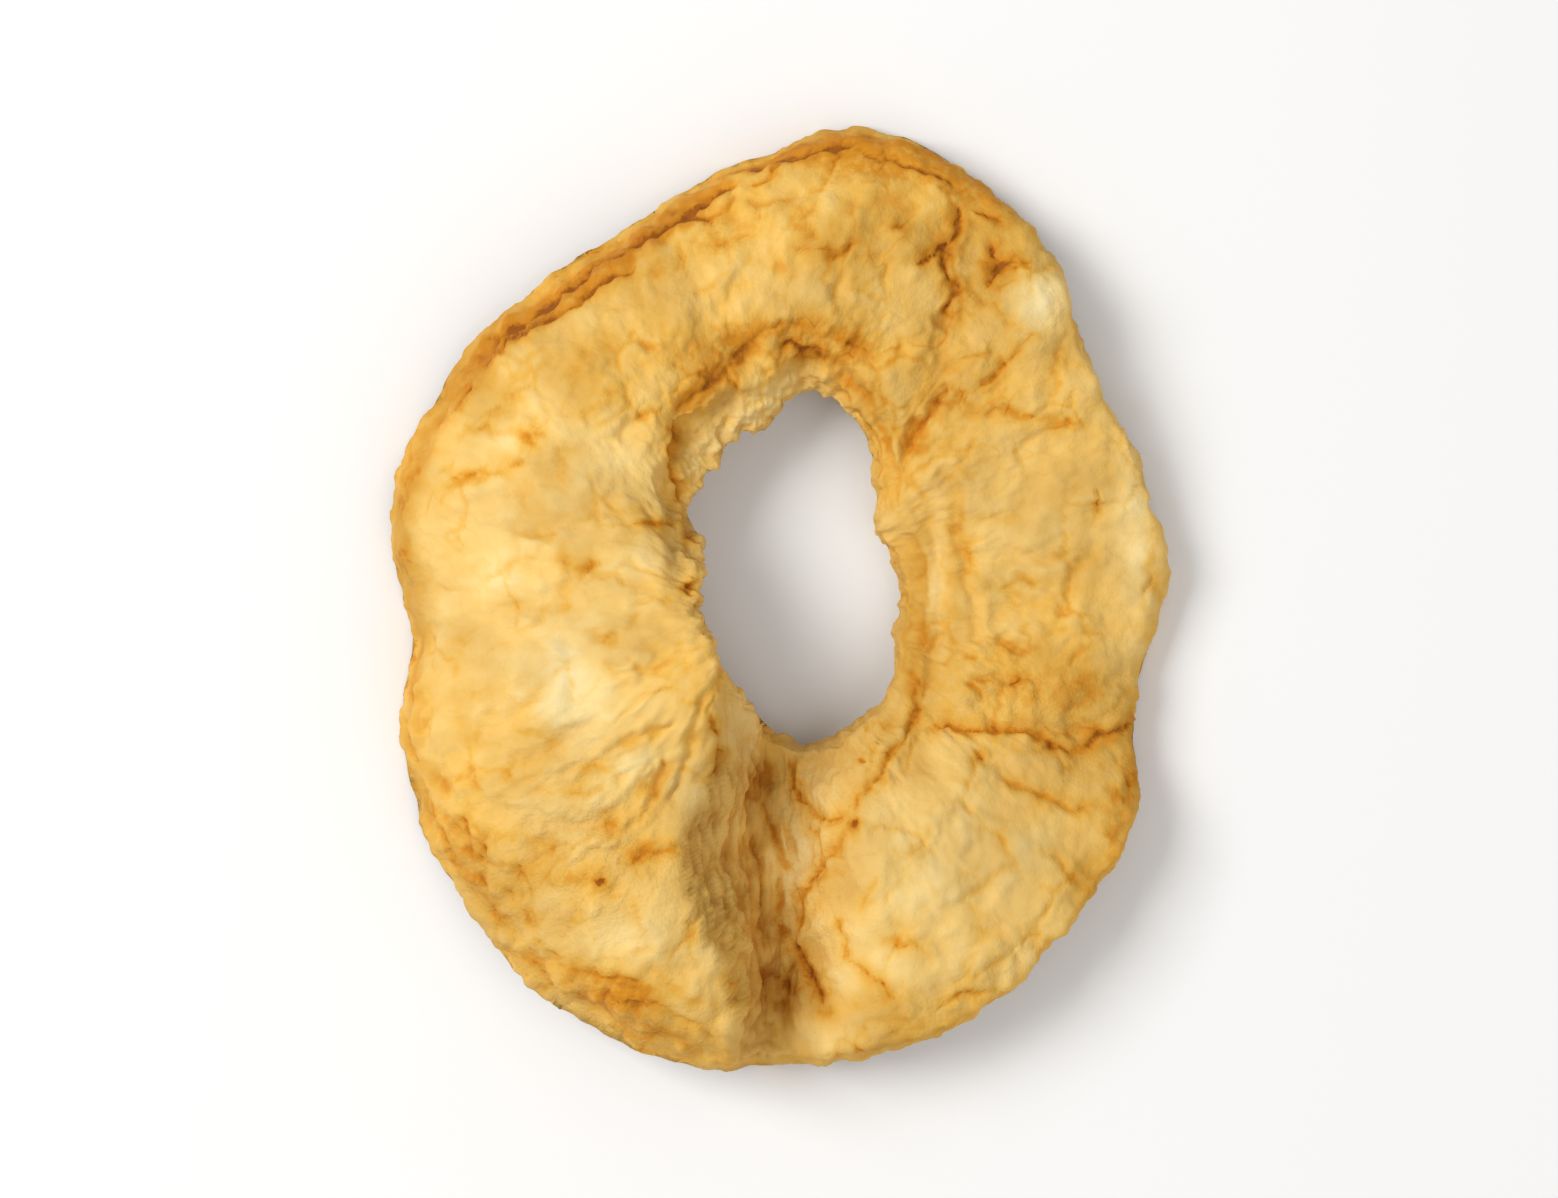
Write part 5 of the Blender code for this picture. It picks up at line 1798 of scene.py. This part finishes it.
    def build(self, flesh: bpy.types.Material) -> bpy.types.Object:
        """Builds, marks and wrinkles the ring.

        Args:
            flesh: the finish.

        Returns:
            The ring, a plain mesh in its place.
        """
        section = self.section_angles()
        turn = np.repeat(np.arange(self.steps_round) * 2.0 * math.pi / self.steps_round, len(section))
        turn = np.where(turn > math.pi, turn - 2.0 * math.pi, turn)
        tube = np.tile(section, self.steps_round)
        points, share, upward = self.form.lay_out(turn, tube)
        mesh = bpy.data.meshes.new(PIECE)
        mesh.from_pydata((self.set_down(points) * MM).tolist(), [], self.faces(len(section)))
        mesh.update()
        mesh.shade_smooth()
        ring = bpy.data.objects.new(PIECE, mesh)
        bpy.context.scene.collection.objects.link(ring)
        self.mark(mesh, points, share, upward, turn)
        self.relief.raise_on(ring, flesh)
        self.press_flat(ring)
        return ring

    def press_flat(self, ring: bpy.types.Object) -> None:
        """Keeps every point on or above the surface that the ring rests on.

        Args:
            ring: the ring.
        """
        mesh = ring.data
        places = np.zeros(len(mesh.vertices) * 3)
        mesh.vertices.foreach_get("co", places)
        places = places.reshape(-1, 3)
        places[:, 2] = np.maximum(places[:, 2], 0.0)
        mesh.vertices.foreach_set("co", places.ravel())
        mesh.update()


@dataclass(frozen=True)
class Lamp:
    """A soft square lamp, its place in metres and its power in watts."""

    name: str
    place: tuple[float, float, float]
    size: float
    power: float
    tint: tuple[float, float, float] = WHITE[:3]

    def build(self) -> bpy.types.Object:
        """Builds the lamp.

        Returns:
            The lamp, turned to the ring.
        """
        light = bpy.data.lights.new(self.name, "AREA")
        light.shape = "SQUARE"
        light.size = self.size
        light.energy = self.power
        light.color = self.tint
        lamp = bpy.data.objects.new(self.name, light)
        lamp.location = self.place
        lamp.rotation_euler = (-Vector(self.place)).to_track_quat("-Z", "Y").to_euler()
        bpy.context.scene.collection.objects.link(lamp)
        return lamp


@dataclass(frozen=True)
class Studio:
    """A pale floor, soft lamps, and a camera that looks straight down. Lengths are in metres."""

    lamps: tuple[Lamp, ...] = (
        Lamp("key", (-0.37, 0.13, 0.43), 0.3, 2.52, (1.0, 0.985, 0.96)),
        Lamp("fill", (0.3, -0.25, 0.5), 0.6, 1.1),
    )
    sky: float = 0.42
    floor_size: float = 3.0
    floor_colour: Colour = (0.9, 0.9, 0.9, 1.0)
    floor_grain: float = 0.004
    grain_range: Pair = (0.3, 0.7)
    floor_roughness: Pair = (0.75, 0.9)
    image_width: int = 1558
    image_height: int = 1198
    ring_share: float = 0.8
    lens: float = 100.0

    def floor(self) -> bpy.types.Object:
        """Builds the floor.

        Returns:
            The floor, which isn't part of the ring.
        """
        bpy.ops.mesh.primitive_plane_add(size=self.floor_size)
        floor = bpy.context.object
        floor.name = "floor"
        matt = bpy.data.materials.new("pale_floor")
        matt.use_nodes = True
        sheet = Sheet(matt.node_tree)
        shader = matt.node_tree.nodes["Principled BSDF"]
        shader.inputs["Base Color"].default_value = self.floor_colour
        place = sheet.add("ShaderNodeTexCoord").outputs["Object"]
        shade = sheet.noise(place, self.floor_grain, Layer.FLOOR, RICH_DETAIL)
        roughness = sheet.span(shade, *self.grain_range, *self.floor_roughness)
        sheet.feed(shader.inputs["Roughness"], roughness)
        floor.data.materials.append(matt)
        return floor

    def camera(self) -> bpy.types.Object:
        """Builds the camera.

        Returns:
            The camera, so far up that the ring's length takes its share of the picture.
        """
        low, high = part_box(CAD_NODE)
        view_height = (high.y - low.y) / self.ring_share
        data = bpy.data.cameras.new("camera")
        data.lens = self.lens
        distance = view_height * self.image_width / self.image_height * self.lens / data.sensor_width
        camera = bpy.data.objects.new("camera", data)
        camera.location = (0.0, 0.0, high.z * 0.5 + distance)
        bpy.context.scene.collection.objects.link(camera)
        bpy.context.scene.camera = camera
        return camera

    def build(self) -> None:
        """Builds the floor, the lamps, the sky and the camera."""
        self.floor()
        for lamp in self.lamps:
            lamp.build()
        world = bpy.data.worlds.new("studio")
        world.use_nodes = True
        sky = world.node_tree.nodes["Background"]
        sky.inputs["Color"].default_value = WHITE
        sky.inputs["Strength"].default_value = self.sky
        bpy.context.scene.world = world
        bpy.context.scene.view_settings.view_transform = "Standard"
        self.camera()


def main() -> None:
    """Builds the finish, the ring and the studio, and reports each."""
    logging.basicConfig(level=logging.INFO, format="%(message)s")
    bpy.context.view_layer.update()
    flesh = DriedFlesh().build()
    LOG.info("finish: %s", flesh.name)
    ring = AppleRing().build(flesh)
    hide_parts(CAD_NODE)
    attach(ring, BODY)
    LOG.info("piece: %s, %d points", ring.name, len(ring.data.vertices))
    Studio().build()
    LOG.info("studio: floor, lamps and camera")


if __name__ == "__main__":
    main()
